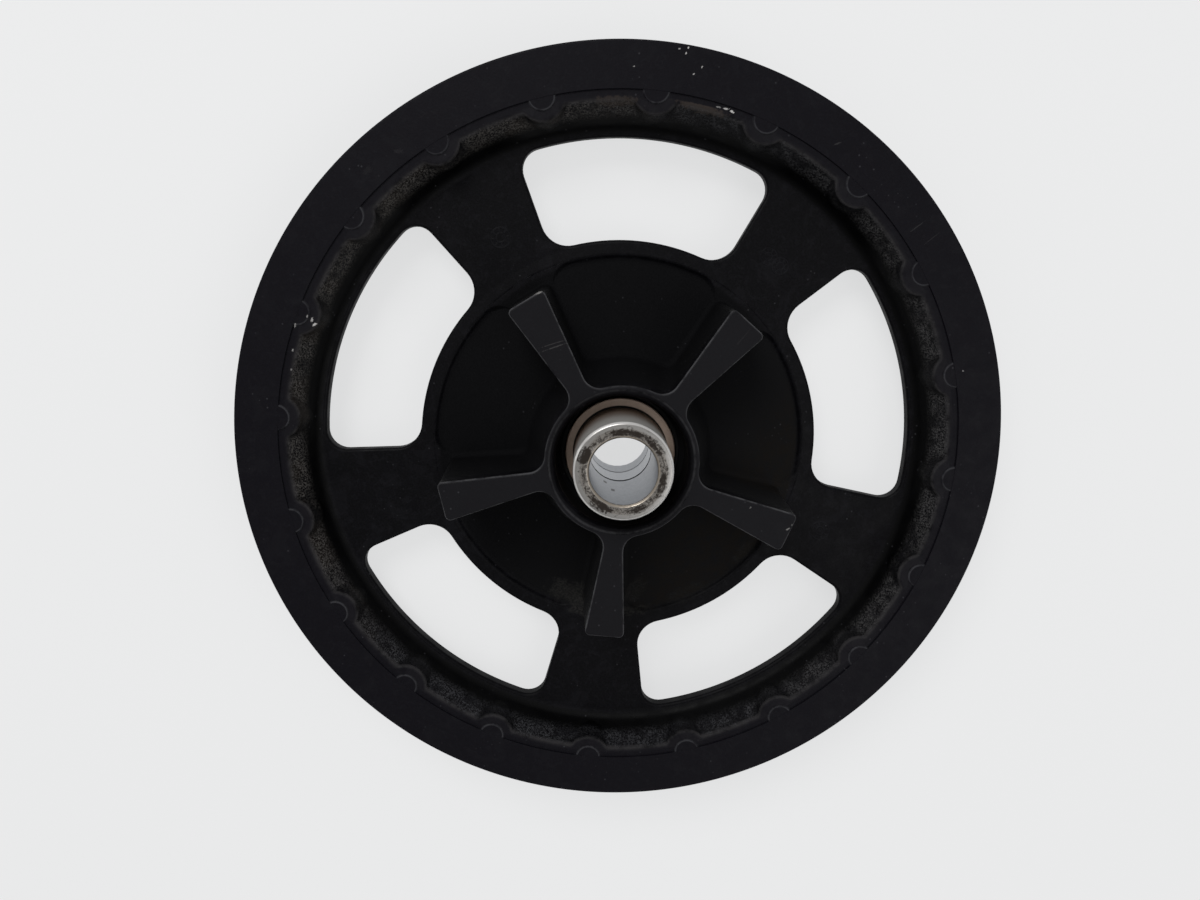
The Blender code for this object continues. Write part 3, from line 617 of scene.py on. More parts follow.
speck_group, given, made = new_group("dust_specks", [("Vector", None), ("Scale", 220.0)])
cells = speck_group.nodes.new("ShaderNodeTexVoronoi")
feed(speck_group, cells.inputs["Vector"], given["Vector"])
feed(speck_group, cells.inputs["Scale"], times(speck_group, given["Scale"], 0.75))
near = fade(speck_group, cells.outputs["Distance"], 0.06, 0.15, 1.0, 0.0)
region = noise(speck_group, given["Vector"], times(speck_group, given["Scale"], 0.16), 2.0)
speck_group.links.new(times(speck_group, near, fade(speck_group, region, 0.50, 0.62)), made["Mask"])

# %% Edge bands and stains
edge_band_group, given, made = new_group("edge_band", [("Vector", None), ("Value", 0.0), ("Centre", 0.0),
                                                  ("Half Width", 0.001)])
away = calc(edge_band_group, "DIVIDE", apart(edge_band_group, given["Value"], given["Centre"]), given["Half Width"])
band = fade(edge_band_group, away, 0.35, 1.0, 1.0, 0.0)
broken = fade(edge_band_group, noise(edge_band_group, given["Vector"], 160.0, 3.0, 0.7), 0.25, 0.60)
edge_band_group.links.new(times(edge_band_group, band, broken), made["Mask"])

stain_group, given, made = new_group("stain", [("Vector", None), ("Scale", 90.0), ("Cover", 0.5)])
blot = noise(stain_group, given["Vector"], given["Scale"], 4.0, 0.68, 1.2)
start = minus(stain_group, 0.7, times(stain_group, given["Cover"], 0.35))
stain_group.links.new(fade(stain_group, blot, start, plus(stain_group, start, 0.12)), made["Mask"])

# %% Small marks and foundry rings
mark_group, given, made = new_group("small_mark", [("Vector", None), ("Place", None), ("Turn", None),
                                                   ("Size", None), ("Ragged", 0.0)])
shape = mark_group.nodes.new("ShaderNodeMapping")
shape.vector_type = "TEXTURE"
for socket, label in (("Vector", "Vector"), ("Location", "Place"), ("Rotation", "Turn"), ("Scale", "Size")):
    feed(mark_group, shape.inputs[socket], given[label])
far = mark_group.nodes.new("ShaderNodeVectorMath")
far.operation = "LENGTH"
mark_group.links.new(shape.outputs[0], far.inputs[0])
frayed = plus(mark_group, far.outputs["Value"], given["Ragged"])
mark_group.links.new(fade(mark_group, frayed, 0.7, 1.15, 1.0, 0.0), made["Mask"])

ring_group, given, made = new_group("foundry_mark", [("Vector", None), ("X", 0.0), ("Y", 0.0),
                                                     ("Radius", 0.004)])
parts = ring_group.nodes.new("ShaderNodeSeparateXYZ")
feed(ring_group, parts.inputs[0], given["Vector"])
dx = minus(ring_group, parts.outputs[0], given["X"])
dy = minus(ring_group, parts.outputs[1], given["Y"])
share = calc(ring_group, "DIVIDE", span(ring_group, dx, dy), given["Radius"])
outer = fade(ring_group, apart(ring_group, share, 0.92), 0.05, 0.11, 1.0, 0.0)
inner = fade(ring_group, apart(ring_group, share, 0.42), 0.05, 0.11, 1.0, 0.0)
middle = fade(ring_group, apart(ring_group, share, 0.68), 0.14, 0.2, 1.0, 0.0)
around = times(ring_group, calc(ring_group, "ARCTAN2", dy, dx), 8.0)
spikes = times(ring_group, fade(ring_group, calc(ring_group, "SINE", around), 0.4, 0.8), middle)
ring_group.links.new(most(ring_group, outer, inner, spikes), made["Mask"])
print("groups", [g.name for g in bpy.data.node_groups])


# %% Materials and their parts
def start_material(name, roughness, metallic, specular=0.5):
    material = bpy.data.materials.new(name)
    material.use_nodes = True
    tree = material.node_tree
    shader = tree.nodes["Principled BSDF"]
    shader.inputs["Roughness"].default_value = roughness
    shader.inputs["Metallic"].default_value = metallic
    shader.inputs["Specular IOR Level"].default_value = specular
    place = tree.nodes.new("ShaderNodeTexCoord").outputs["Object"]
    return material, tree, shader, place


def round_axes(tree, place):
    """X, Y, height and distance from the axle of a point."""
    axes = tree.nodes.new("ShaderNodeSeparateXYZ")
    feed(tree, axes.inputs[0], place)
    x, y, height = axes.outputs
    return x, y, height, span(tree, x, y)


def paint(tree, tone, mask, colour, share=1.0):
    """Lay a share of a colour over a tone where a mask is set."""
    if share != 1.0:
        mask = times(tree, mask, share)
    return blend_colour(tree, mask, tone, colour)


def marks(tree, place, ragged, rows):
    """The strongest of several small marks: (x, y, degrees, half length, half width, strength) in mm."""
    offset = times(tree, minus(tree, ragged, 0.5), 2.4)
    total = 0.0
    for x, y, turn, long, wide, strength in rows:
        mark = use_group(tree, mark_group, Vector=place, Place=(x * MM, y * MM, 0), Ragged=offset,
                         Turn=(0, 0, math.radians(turn)), Size=(long * MM, wide * MM, FAR))
        total = most(tree, times(tree, mark["Mask"], strength), total)
    return total


def stains_over(tree, place, scale, cover):
    return use_group(tree, stain_group, Vector=place, Scale=scale, Cover=cover)["Mask"]


def edge_band_mask(tree, place, value, centre, half_width):
    """A band broken up by noise where a value is near a centre, both widths in millimetres: worn edges and
    painted edge highlights.
    """
    return use_group(tree, edge_band_group, Vector=place, Value=value, Centre=centre * MM,
                     Half_Width=half_width * MM)["Mask"]


def specks_over(tree, place, scale):
    return use_group(tree, speck_group, Vector=place, Scale=scale)["Mask"]


def add_bump(tree, shader, height, strength, distance):
    bump = tree.nodes.new("ShaderNodeBump")
    bump.inputs["Strength"].default_value = strength
    bump.inputs["Distance"].default_value = distance
    feed(tree, bump.inputs["Height"], height)
    tree.links.new(bump.outputs["Normal"], shader.inputs["Normal"])


# %% [markdown]
# ## The casting's coating
# The casting is coated satin black. The turned flange face is smooth, the inside of the rim is rough and
# dusty, the lug tops are rubbed lighter and their edges are worn and carry a painted highlight. Painted
# shade lies in the dish and at the foot of the rim's wall. Radius and height pick the regions.

# %% Where the regions start and end, in millimetres
FACE_LEVEL = (LEDGE_TOP - 0.3, LEDGE_TOP - 0.1)
FACE_INNER = (125.5, 126.2)
FACE_CEILING = (34.0, 36.0)
DISH_EDGE = (DISH_RADIUS - 2.5, DISH_RADIUS - 0.8)
DISH_CEILING = (50.0, 56.0)
LUG_TOP_LEVEL = (LUG_TOP - 1.6, LUG_TOP - 0.4)
LUG_SIDE_LEVEL = (LUG_TOP - 4.2, LUG_TOP - 2.2)
WALL_INNER = (WINDOW_OUTER + 1.4, WINDOW_OUTER + 2.8)
WALL_OUTER = (135.2, 135.6)
WALL_START = (WEB_TOP - 1.5, WEB_TOP + 0.2)
FOOT_SHADE_END = (22.5, 26.2)
DUST_START = (21.5, 26.2)
DUST_END = (30.2, LEDGE_TOP - 0.2)
RUST_START = (25.5, 27.5)
NECK_MOUTH = (NECK_TOP_RADIUS - 0.9, NECK_TOP_RADIUS + 3.6)
print("wall of the rim from", WALL_INNER[0], "to", WALL_OUTER[1])

# %% Black coated aluminium: regions
coat, tree, shader, place = start_material("black_coated_aluminium", 0.5, 0.0, 0.07)
x, y, height, radius = round_axes(tree, place)
grain = use_group(tree, grain_group, Vector=place, Scale=1400.0)
ragged = noise(tree, place, 1900.0, 2.0, 0.7)
flange_face = times(tree, rise(tree, height, *FACE_LEVEL), rise(tree, radius, *FACE_INNER),
                    fall(tree, height, *FACE_CEILING))
in_dish = times(tree, fall(tree, radius, *DISH_EDGE), fall(tree, height, *DISH_CEILING))
lug_top = rise(tree, height, *LUG_TOP_LEVEL)
turn = minus(tree, calc(tree, "ARCTAN2", y, x), SPOKE_ANGLE)
rib_step = 2 * math.pi / RIB_COUNT
nearest_rib = times(tree, calc(tree, "ROUND", calc(tree, "DIVIDE", turn, rib_step)), rib_step)
from_rib_turn = minus(tree, turn, nearest_rib)
rib_x = minus(tree, times(tree, radius, calc(tree, "COSINE", from_rib_turn)), RIB_CENTRE * MM)
rib_y = times(tree, radius, calc(tree, "SINE", from_rib_turn))
from_rib = span(tree, rib_x, rib_y)
near_wall = times(tree, rise(tree, radius, *WALL_INNER), fall(tree, radius, *WALL_OUTER),
                  rise(tree, height, *WALL_START))
# Mask for painted shade on the lower part of the rim's wall.
wall_foot_shade = times(tree, near_wall, fall(tree, height, *FOOT_SHADE_END))
wall = times(tree, near_wall, rise(tree, height, *DUST_START), fall(tree, height, *DUST_END))
print("region nodes", len(tree.nodes))

# %% Black coated aluminium: plain tones and painted shade
fine_specks = fade(tree, grain["Height"], 0.38, 0.62)
speckle = plus(tree, times(tree, grain["Mottle"], 0.4), times(tree, fine_specks, 0.6))
tone = blend_colour(tree, speckle, (0.0007, 0.0006, 0.0010), (0.0031, 0.0030, 0.0040))
face_tone = blend_colour(tree, speckle, (0.0034, 0.0030, 0.0046), (0.0047, 0.0043, 0.0064))
tone = paint(tree, tone, flange_face, face_tone)
tone = paint(tree, tone, stains_over(tree, place, 70.0, 0.55), (0.0068, 0.0066, 0.0084), 0.35)
tone = paint(tree, tone, stains_over(tree, place, 330.0, 0.5), (0.0085, 0.0084, 0.0105), 0.28)
# Painted shade in the dish: its floor is darkest towards the upper left and lighter towards the lower right.
dish_light_side = rise(tree, minus(tree, x, y), -30.0, 70.0)
dish_shade_tone = blend_colour(tree, dish_light_side, (0.0014, 0.0014, 0.0018), (0.0046, 0.0046, 0.0050))
dish_shade_tone = paint(tree, dish_shade_tone, speckle, (0.0060, 0.0060, 0.0068), 0.35)
tone = paint(tree, tone, in_dish, dish_shade_tone)
top_tone = blend_colour(tree, grain["Height"], (0.0058, 0.0056, 0.0068), (0.0088, 0.0086, 0.0102))
tone = paint(tree, tone, lug_top, top_tone)
# Painted shade: the foot of the rim's wall is darkened nearly to black.
tone = paint(tree, tone, wall_foot_shade, (0.0004, 0.0004, 0.0005), 0.9)
print("plain tone nodes", len(tree.nodes))

# %% Black coated aluminium: dust and painted light on the wall of the rim
# The dust lies thicker towards the upper left and is lighter towards the right: partly real dust, partly
# painted light.
upper_left = rise(tree, minus(tree, times(tree, y, 0.5), times(tree, x, 0.87)), 20.0, 95.0)
grit = fade(tree, noise(tree, place, 1350.0, 4.0, 0.85), 0.48, 0.55)
patch_low = blend_value(tree, upper_left, 0.15, 0.45)
patch_high = blend_value(tree, upper_left, 0.8, 1.0)
patchy = fade(tree, noise(tree, place, 170.0, 4.0, 0.6), 0.34, 0.60, patch_low, patch_high)
between = fade(tree, from_rib, RIB_RADIUS * MM, (RIB_RADIUS + 2.0) * MM, 0.25, 1.0)
dust_and_light_tone = blend_colour(tree, upper_left, (0.080, 0.081, 0.088), (0.088, 0.083, 0.078))
dust_and_light_tone = paint(tree, dust_and_light_tone, rise(tree, x, 40.0, 110.0), (0.125, 0.122, 0.122))
dust_and_light_share = times(tree, wall, between, plus(tree, times(tree, upper_left, 0.35), 0.65))
brown = times(tree, wall, upper_left, fade(tree, noise(tree, place, 75.0, 3.0), 0.44, 0.62))
tone = paint(tree, tone, brown, (0.017, 0.0125, 0.0085), 0.35)
tone = paint(tree, tone, times(tree, dust_and_light_share, grit, patchy), dust_and_light_tone, 0.85)
smears = [
    (-2.0, 133.5, 0, 8.0, 1.7, 0.4),
    (31.0, 130.6, -13, 9.5, 1.6, 0.5),
]
rusty = marks(tree, place, noise(tree, place, 420.0, 5.0, 0.7), smears)
rusty = times(tree, rusty, near_wall, rise(tree, height, *RUST_START))
tone = paint(tree, tone, rusty, (0.048, 0.037, 0.030))
print("dusty tone nodes", len(tree.nodes))

# %% Black coated aluminium: worn edges, painted edge highlights and specks
# A light band on the lugs' rounded top edges, partly wear and partly a painted highlight, weaker at the neck's
# mouth.
lug_edge_wear_and_highlight = edge_band_mask(tree, place, height, LUG_TOP - 0.55, 0.52)
off_mouth = fade(tree, radius, NECK_MOUTH[0] * MM, NECK_MOUTH[1] * MM, 0.3, 0.65)
tone = paint(tree, tone, times(tree, lug_edge_wear_and_highlight, off_mouth), (0.085, 0.085, 0.090))
ledge_edge = edge_band_mask(tree, place, height, LEDGE_TOP - 0.8, 0.9)
tone = paint(tree, tone, times(tree, ledge_edge, near_wall), (0.040, 0.038, 0.040), 0.5)
# Painted highlight: a light line round the rounded edge of each half-moon pad.
pad_edge_highlight = times(tree, edge_band_mask(tree, place, from_rib, PAD_RADIUS - 0.2, 0.6),
                 rise(tree, height, LEDGE_TOP - 0.1, LEDGE_TOP + 0.1),
                 fall(tree, radius, LIP_INNER - 0.2, LIP_INNER + 0.2))
tone = paint(tree, tone, pad_edge_highlight, (0.034, 0.034, 0.038), 0.8)
tone = paint(tree, tone, specks_over(tree, place, 420.0), (0.10, 0.10, 0.11), 0.2)

# %% Black coated aluminium: chips on the rim and scratches on the lugs
chips = marks(tree, place, ragged, [
    (21.5, 151.4, 20, 0.4, 0.3, 0.5), (24.8, 151.7, 60, 0.45, 0.3, 0.9), (24.0, 149.8, 70, 0.4, 0.3, 0.7),
    (30.0, 145.0, 70, 0.45, 0.28, 0.6), (27.0, 142.6, 40, 0.45, 0.28, 0.6), (4.7, 145.3, 10, 0.4, 0.25, 0.4),
    (137.1, 31.5, 0, 0.4, 0.3, 0.3), (114.7, 87.5, 37, 3.2, 0.20, 0.035), (120.9, 83.2, 39, 3.4, 0.18, 0.02),
    (-120.8, 51.9, 70, 1.0, 0.45, 0.6), (-120.0, 50.1, 40, 0.9, 0.5, 0.95), (-122.4, 53.4, 80, 0.7, 0.25, 0.4),
    (36.6, 131.1, -14, 0.9, 0.3, 0.3), (39.4, 130.5, -8, 1.2, 0.35, 0.7), (41.8, 129.4, -30, 0.8, 0.45, 0.9),
    (-127.5, 49.8, 70, 0.9, 0.35, 0.45), (-129.2, 40.1, 76, 0.6, 0.35, 0.4), (-130.4, 32.4, 78, 0.5, 0.3, 0.3),
    (82.0, 118.0, 20, 1.4, 0.3, 0.04), (-96.0, 108.0, 40, 2.2, 1.1, 0.008), (-84.0, 115.0, 0, 1.8, 0.8, 0.012),
])
tone = paint(tree, tone, times(tree, chips, rise(tree, radius, 123.0, 125.0)), (0.46, 0.45, 0.44))
scratches = marks(tree, place, ragged, [
    (-25.0, 43.6, 19, 4.6, 0.22, 0.18), (-25.4, 44.9, 17, 4.2, 0.18, 0.13), (63.7, -26.0, 30, 0.7, 0.4, 0.9),
    (65.2, -24.4, 60, 0.4, 0.25, 0.5), (-60.5, -4.0, 20, 2.2, 0.20, 0.10), (44.0, 47.0, 50, 4.0, 0.18, 0.04),
    (-30.3, 63.4, 25, 2.2, 0.45, 1.0), (-27.6, 64.2, -50, 1.3, 0.4, 0.9), (49.0, -17.4, 60, 0.5, 0.3, 0.5),
])
tone = paint(tree, tone, times(tree, scratches, rise(tree, height, *LUG_SIDE_LEVEL)), (0.16, 0.155, 0.15))

# %% Black coated aluminium: stains low in the dish
low = fall(tree, height, 30.0, 34.0)
hazy = noise(tree, place, 190.0, 4.0, 0.75)
stains = marks(tree, place, hazy, [
    (-21.5, -66.5, -25, 9.5, 6.0, 0.9), (-13.0, -76.0, -10, 8.0, 2.6, 1.0), (8.0, -75.5, 6, 8.0, 2.2, 0.8),
    (7.5, -65.0, 60, 7.0, 4.0, 0.6), (30.0, -67.5, 22, 9.0, 3.2, 0.35), (55.0, -49.0, 45, 6.0, 3.0, 0.4),
])
flaky = fade(tree, noise(tree, place, 1100.0, 3.0, 0.8), 0.38, 0.64, 0.15, 1.0)
tone = paint(tree, tone, times(tree, stains, low, flaky), (0.018, 0.0175, 0.0165))
rust_side = times(tree, in_dish, low, rise(tree, minus(tree, x, y), 35.0, 75.0), rise(tree, x, -5.0, 20.0))
tone = paint(tree, tone, times(tree, rust_side, fade(tree, hazy, 0.3, 0.65)), (0.0075, 0.0055, 0.0035), 0.5)

# %% Black coated aluminium: foundry rings on the spokes
foundry = 0.0
for mark_x, mark_y, size in ((-47.6, 83.6, 4.3), (60.6, 76.2, 3.6), (65.4, 72.4, 3.6), (87.2, -39.3, 4.3)):
    ring = use_group(tree, ring_group, Vector=place, X=mark_x * MM, Y=mark_y * MM, Radius=size * MM)
    foundry = most(tree, ring["Mask"], foundry)
on_web = times(tree, rise(tree, height, WEB_TOP - 0.5, WEB_TOP - 0.2),
               fall(tree, height, WEB_TOP + 0.6, WEB_TOP + 1.0))
foundry = times(tree, foundry, on_web)
tone = paint(tree, tone, times(tree, foundry, fade(tree, hazy, 0.35, 0.6)), (0.0125, 0.0125, 0.015), 0.3)
tree.links.new(tone, shader.inputs["Base Color"])

# %% Black coated aluminium: gloss and relief
gloss = fade(tree, grain["Mottle"], 0.3, 0.7, 0.44, 0.58)
gloss = blend_value(tree, in_dish, gloss, 0.8)
dusty = most(tree, times(tree, wall, grit), most(tree, chips, stains))
tree.links.new(blend_value(tree, dusty, gloss, 0.85), shader.inputs["Roughness"])
rough_wall = plus(tree, times(tree, wall, 4.0), 0.5)
relief = times(tree, plus(tree, grain["Height"], times(tree, wall, grit)), rough_wall)
relief = plus(tree, relief, times(tree, foundry, 1.6))
add_bump(tree, shader, relief, 0.4, 0.00025)
casting.data.materials.clear()
casting.data.materials.append(coat)
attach(casting, "pulley")
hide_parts("pulley_hub", "pulley_web", "pulley_rim")
print("coat nodes", len(tree.nodes))

# %% [markdown]
# ## The spacer sleeve
# A turned steel sleeve stands out of the hub. Its end face is stained brown where it met its neighbour,
# its outer edge is bright, and a thin line of painted shade marks the undercut behind the flange.

# %% Sleeve shape and turned tone
sleeve_section = [
    (AXLE_BORE, SLEEVE_END - 0.8, 0),
    (AXLE_BORE + 0.7, SLEEVE_END, 0.15),
    (SLEEVE_RADIUS - 0.9, SLEEVE_END, 0.25),
    (SLEEVE_RADIUS, SLEEVE_END - 0.9, 0.25),
    (SLEEVE_RADIUS, SLEEVE_FLANGE_TOP + 1.7, 0.3),
    (SLEEVE_RADIUS - 0.6, SLEEVE_FLANGE_TOP + 1.2, 0.15),
    (SLEEVE_RADIUS - 0.6, SLEEVE_FLANGE_TOP, 0.1),
    (SLEEVE_FLANGE_RADIUS, SLEEVE_FLANGE_TOP, 0.5),
    (SLEEVE_FLANGE_RADIUS, SLEEVE_FLANGE_TOP - 2.2, 0.3),
    (16.8, BEARING_TOP + SEAT_GAP, 0),
    (AXLE_BORE + 0.4, BEARING_TOP + SEAT_GAP, 0),
    (AXLE_BORE, BEARING_TOP + 0.7, 0),
]
steel, tree, shader, place = start_material("turned_steel", 0.36, 1.0, 0.1)
x, y, height, radius = round_axes(tree, place)
turning = tree.nodes.new("ShaderNodeCombineXYZ")
feed(tree, turning.inputs[0], times(tree, radius, 9000.0))
feed(tree, turning.inputs[1], times(tree, height, 9000.0))
lines = noise(tree, turning.outputs[0], 1.0, 2.0)
ragged = noise(tree, place, 700.0, 6.0, 0.72, 0.8)
tone = blend_colour(tree, lines, (0.27, 0.262, 0.25), (0.38, 0.37, 0.355))

# %% Sleeve side, flange, undercut and bore
side = times(tree, fall(tree, height, SLEEVE_END - 1.4, SLEEVE_END - 0.8),
             rise(tree, radius, AXLE_BORE + 0.5, AXLE_BORE + 1.0))
side_tone = blend_colour(tree, rise(tree, height, 43.0, 68.0), (0.150, 0.088, 0.052), (0.36, 0.35, 0.335))
tone = paint(tree, tone, side, side_tone)
flange = times(tree, fall(tree, height, SLEEVE_FLANGE_TOP + 0.3, SLEEVE_FLANGE_TOP + 0.7),
               rise(tree, radius, SLEEVE_RADIUS - 0.4, SLEEVE_RADIUS))
tone = paint(tree, tone, flange, blend_colour(tree, ragged, (0.27, 0.205, 0.165), (0.44, 0.340, 0.275)))
# Painted shade: the undercut behind the flange is darkened nearly to black.
undercut_shade = times(tree, fall(tree, radius, SLEEVE_RADIUS + 0.3, SLEEVE_RADIUS + 0.6),
                 fall(tree, height, SLEEVE_FLANGE_TOP + 1.5, SLEEVE_FLANGE_TOP + 1.8),
                 rise(tree, radius, 16.5, 16.8))
tone = paint(tree, tone, undercut_shade, (0.002, 0.0018, 0.0016))
bore_wall = fall(tree, radius, AXLE_BORE + 0.06, AXLE_BORE + 0.12)
bore_tone = blend_colour(tree, fade(tree, ragged, 0.35, 0.65), (0.29, 0.305, 0.33), (0.36, 0.375, 0.40))
tone = paint(tree, tone, bore_wall, bore_tone)

# %% Stains on the sleeve's end face
end_level = rise(tree, height, SLEEVE_END - 0.9, SLEEVE_END - 0.7)
on_face = times(tree, end_level, rise(tree, radius, AXLE_BORE + 0.2, AXLE_BORE + 0.3))
lobes = marks(tree, place, 0.5, [
    (-14.8, 6.3, 65, 3.4, 3.2, 1.0), (1.0, 14.2, -5, 6.5, 1.7, 0.6), (11.2, 10.0, -45, 5.5, 1.8, 0.45),
    (14.2, -4.8, 75, 5.5, 1.7, 0.5), (-8.4, -13.0, -32, 5.0, 2.0, 0.7), (6.0, -13.9, 20, 4.0, 1.6, 0.4),
])
ring_band = fall(tree, apart(tree, radius, 14.6 * MM), 0.3, 2.3)
around = calc(tree, "ARCTAN2", y, x)
streak_at = tree.nodes.new("ShaderNodeCombineXYZ")
feed(tree, streak_at.inputs[0], times(tree, radius, 1500.0))
feed(tree, streak_at.inputs[1], times(tree, calc(tree, "SINE", around), 4.0))
feed(tree, streak_at.inputs[2], times(tree, calc(tree, "COSINE", around), 4.0))
streaks = noise(tree, streak_at.outputs[0], 1.0, 5.0, 0.7)
stain_level = plus(tree, times(tree, ragged, 0.6), times(tree, streaks, 0.4))
stain_level = plus(tree, stain_level, plus(tree, times(tree, lobes, 0.17), times(tree, ring_band, 0.125)))
stained = times(tree, fade(tree, stain_level, 0.525, 0.70), on_face)
ring_mask = times(tree, fade(tree, ring_band, 0.0, 0.8), on_face)
tone = paint(tree, tone, ring_mask, (0.17, 0.14, 0.11), 0.4)
tone = paint(tree, tone, stained, (0.012, 0.008, 0.006), 0.95)

# %% Edges, pits and seam of the sleeve
bright_edge = times(tree, rise(tree, radius, SLEEVE_RADIUS - 0.9, SLEEVE_RADIUS - 0.7),
                    rise(tree, height, SLEEVE_END - 1.2, SLEEVE_END - 0.9))
tone = paint(tree, tone, bright_edge, (0.80, 0.79, 0.77), 0.85)
inner_edge = times(tree, rise(tree, radius, AXLE_BORE + 0.05, AXLE_BORE + 0.1),
                   fall(tree, radius, AXLE_BORE + 0.7, AXLE_BORE + 0.9), end_level)
tone = paint(tree, tone, inner_edge, (0.42, 0.36, 0.29), 0.7)
bore_lip = times(tree, bore_wall, rise(tree, height, SLEEVE_END - 1.5, SLEEVE_END - 1.2))
tone = paint(tree, tone, times(tree, bore_lip, fade(tree, ragged, 0.35, 0.6)), (0.02, 0.015, 0.012))
for pit_x, pit_y, pit_height in ((-6.12, -10.95, 43.0), (-3.27, -12.15, 51.5)):
    level = fall(tree, apart(tree, height, pit_height * MM), 1.4, 1.7)
    pit = times(tree, marks(tree, place, 0.5, [(pit_x, pit_y, 0, 0.8, 0.8, 1.0)]), bore_wall, level)
    tone = paint(tree, tone, pit, (0.003, 0.003, 0.003))
tone = paint(tree, tone, times(tree, specks_over(tree, place, 1200.0), bore_wall), (0.03, 0.03, 0.03), 0.6)
seam = times(tree, fall(tree, height, BEARING_TOP + 0.8, BEARING_TOP + 1.1),
             rise(tree, height, BEARING_TOP, BEARING_TOP + 0.2),
             fall(tree, radius, AXLE_BORE + 0.5, AXLE_BORE + 0.7))
tone = paint(tree, tone, seam, (0.004, 0.004, 0.004))
tree.links.new(tone, shader.inputs["Base Color"])
tree.links.new(fade(tree, stained, 0.0, 1.0, 0.34, 0.66), shader.inputs["Roughness"])
dull = most(tree, stained, undercut_shade, most(tree, seam, times(tree, side, 0.75)))
tree.links.new(fade(tree, dull, 0.0, 1.0, 1.0, 0.3), shader.inputs["Metallic"])
add_bump(tree, shader, lines, 0.12, 0.00004)
sleeve = turned("spacer_sleeve", sleeve_section, ROUND_STEPS, steel)
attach(sleeve, "axle_set")
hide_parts("wheel_side_spacer")
print("sleeve nodes", len(tree.nodes))

# %% [markdown]
# ## The pieces that keep their solids
# The bearing, its seals, the spring ring, the dust seal and the outer spacer are small or hidden, so
# their solids stay and only get finishes.


# %% Finishes of the kept solids
def plain_finish(name, low, high, roughness, metallic, scale, bump, specular=0.5):
    """A finish with a grain and a mottled tone and gloss, for a piece that hardly shows."""
    material, tree, shader, place = start_material(name, roughness, metallic, specular)
    grain = use_group(tree, grain_group, Vector=place, Scale=scale)
    gloss = fade(tree, grain["Mottle"], 0.2, 0.8, roughness - 0.06, roughness + 0.08)
    tree.links.new(blend_colour(tree, grain["Mottle"], low, high), shader.inputs["Base Color"])
    tree.links.new(gloss, shader.inputs["Roughness"])
    add_bump(tree, shader, grain["Height"], bump, 0.0001)
    return material


race, tree, shader, place = start_material("bearing_steel", 0.27, 1.0)
x, y, height, radius = round_axes(tree, place)
grain = use_group(tree, grain_group, Vector=place, Scale=2500.0)
tone = blend_colour(tree, grain["Mottle"], (0.42, 0.43, 0.45), (0.58, 0.59, 0.61))
tone = paint(tree, tone, fall(tree, radius, AXLE_BORE + 0.15, AXLE_BORE + 0.25), (0.33, 0.345, 0.37))
# Painted shade: the race's front face outside the sleeve's flange, in shade under the hub's shoulder and seal,
# is made nearly black.
shaded_race_face = times(tree, rise(tree, height, BEARING_TOP - 1.5, BEARING_TOP - 0.8),
                   rise(tree, radius, 20.5, 21.2))
ends = most(tree, rise(tree, height, BEARING_TOP - 0.5, BEARING_TOP - 0.3),
            fall(tree, height, BEARING_BOTTOM + 0.3, BEARING_BOTTOM + 0.5))
bore_ends = times(tree, ends, fall(tree, radius, AXLE_BORE + 0.8, AXLE_BORE + 1.0))
# The ends at the bore get grime; the front face gets painted shade.
race_grime_and_shade = most(tree, shaded_race_face, bore_ends)
tone = paint(tree, tone, race_grime_and_shade, (0.0015, 0.0014, 0.0014))
tree.links.new(tone, shader.inputs["Base Color"])
tree.links.new(fade(tree, race_grime_and_shade, 0.0, 1.0, 0.27, 0.85), shader.inputs["Roughness"])
tree.links.new(fade(tree, race_grime_and_shade, 0.0, 1.0, 1.0, 0.0), shader.inputs["Metallic"])
add_bump(tree, shader, grain["Height"], 0.08, 0.0001)

rubber = plain_finish("black_rubber", (0.002, 0.002, 0.002), (0.005, 0.005, 0.005),
                      0.62, 0.0, 1800.0, 0.25, 0.1)
spring = plain_finish("phosphated_spring_steel", (0.02, 0.02, 0.022), (0.045, 0.044, 0.045),
                      0.45, 0.8, 2200.0, 0.15)
nylon = plain_finish("cage_nylon", (0.17, 0.13, 0.08), (0.24, 0.19, 0.12), 0.5, 0.0, 1500.0, 0.1)
finishes = {
    "bearing_steel": race,
    "black_rubber": rubber,
    "phosphated_spring_steel": spring,
    "cage_nylon": nylon,
    "turned_steel": steel,
}
for entry in frame["record"]["subparts"]:
    node = frame["nodes"][entry["node"]]
    finish = finishes.get(entry["material_slot"])
    if finish is not None:
        node.data.materials.clear()
        node.data.materials.append(finish)

# %% [markdown]
# ## Floor, light and camera
# The photograph looks almost straight down on a pulley cut out on white. The floor is pale and also
# shines white for the camera and for reflections, while a share of real shading keeps the shadow.

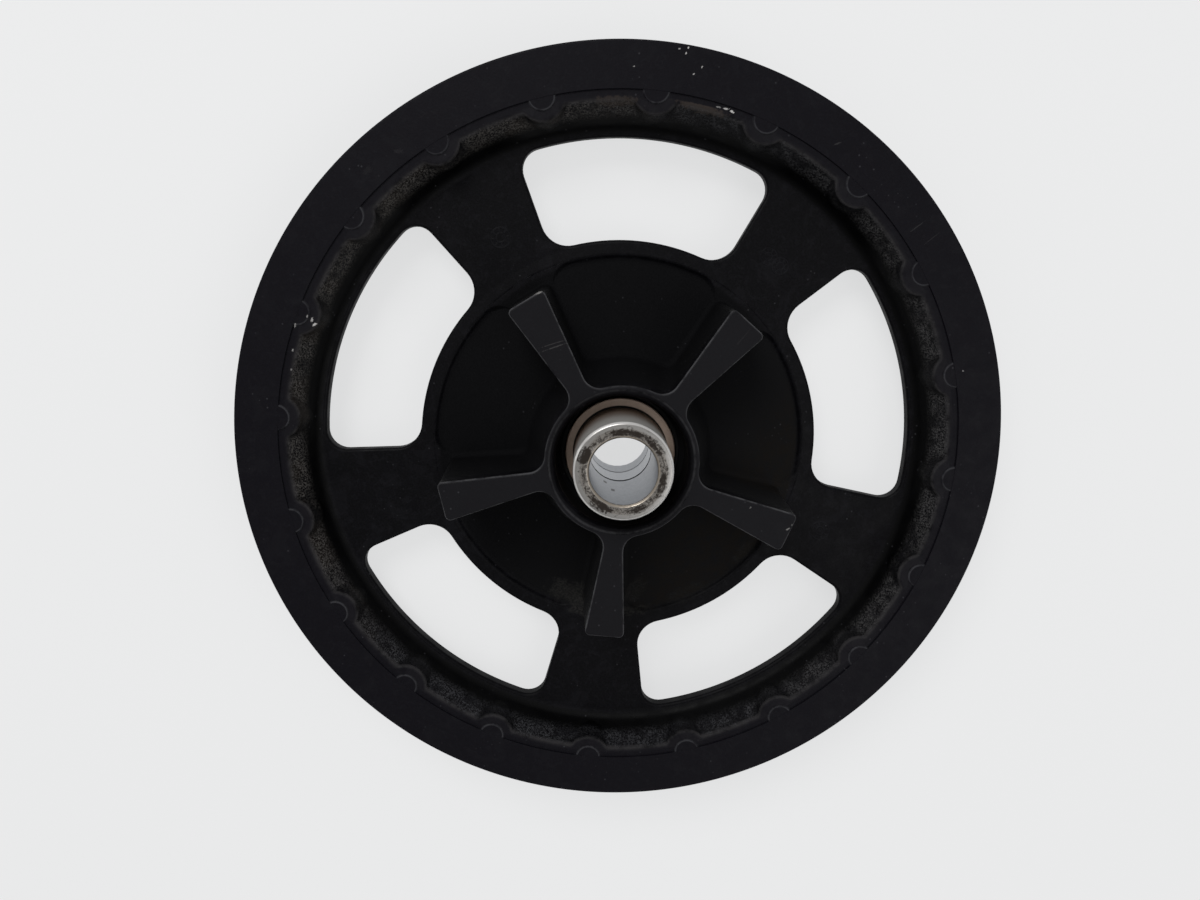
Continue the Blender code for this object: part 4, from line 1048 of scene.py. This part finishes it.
# %% Floor
bm = bmesh.new()
bmesh.ops.create_grid(bm, x_segments=1, y_segments=1, size=3.0)
floor_material = bpy.data.materials.new("pale_floor")
floor_material.use_nodes = True
tree = floor_material.node_tree
floor_shader = tree.nodes["Principled BSDF"]
floor_shader.inputs["Base Color"].default_value = (0.82, 0.82, 0.82, 1.0)
floor_shader.inputs["Roughness"].default_value = 0.9
glow = tree.nodes.new("ShaderNodeEmission")
glow.inputs["Color"].default_value = (0.83, 0.835, 0.84, 1.0)
glow.inputs["Strength"].default_value = 1.0
rays = tree.nodes.new("ShaderNodeLightPath").outputs
seen = most(tree, rays["Is Camera Ray"], rays["Is Glossy Ray"], rays["Is Transmission Ray"])
share = tree.nodes.new("ShaderNodeMixShader")
feed(tree, share.inputs[0], times(tree, seen, 0.8))
tree.links.new(floor_shader.outputs[0], share.inputs[1])
tree.links.new(glow.outputs[0], share.inputs[2])
tree.links.new(share.outputs[0], tree.nodes["Material Output"].inputs["Surface"])
floor = finish_mesh("pale_floor", bm, floor_material)

# %% Light
scene = bpy.context.scene
scene.view_settings.view_transform = "Standard"
world = bpy.data.worlds.new("studio")
world.use_nodes = True
world.node_tree.nodes["Background"].inputs["Color"].default_value = (1.0, 1.0, 1.0, 1.0)
world.node_tree.nodes["Background"].inputs["Strength"].default_value = 0.5
scene.world = world


def soft_lamp(name, place, aim, size, power):
    data = bpy.data.lights.new(name, "AREA")
    data.shape = "DISK"
    data.size = size
    data.energy = power
    lamp = bpy.data.objects.new(name, data)
    scene.collection.objects.link(lamp)
    lamp.location = place
    lamp.rotation_euler = (Vector(aim) - Vector(place)).to_track_quat("-Z", "Y").to_euler()
    return lamp


soft_lamp("key", (-0.5, 1.1, 1.3), (0, 0, 0), 0.9, 16.0)
soft_lamp("fill", (0.9, -0.5, 1.4), (0, 0, 0), 1.2, 6.0)

# %% Camera
camera_data = bpy.data.cameras.new("camera")
camera_data.sensor_width = 36.0
camera_data.lens = 26.89
camera = bpy.data.objects.new("camera", camera_data)
scene.collection.objects.link(camera)
eye = Vector((-0.01274, 0.07458, 0.38693))
target = Vector((-0.00795, -0.00038, 0.032))
back = (eye - target).normalized()
right = Vector((0, 1, 0)).cross(back).normalized()
up = back.cross(right)
camera.matrix_world = Matrix((
    (right.x, up.x, back.x, eye.x),
    (right.y, up.y, back.y, eye.y),
    (right.z, up.z, back.z, eye.z),
    (0, 0, 0, 1),
))
scene.camera = camera
print("camera height", round(eye.z, 3))
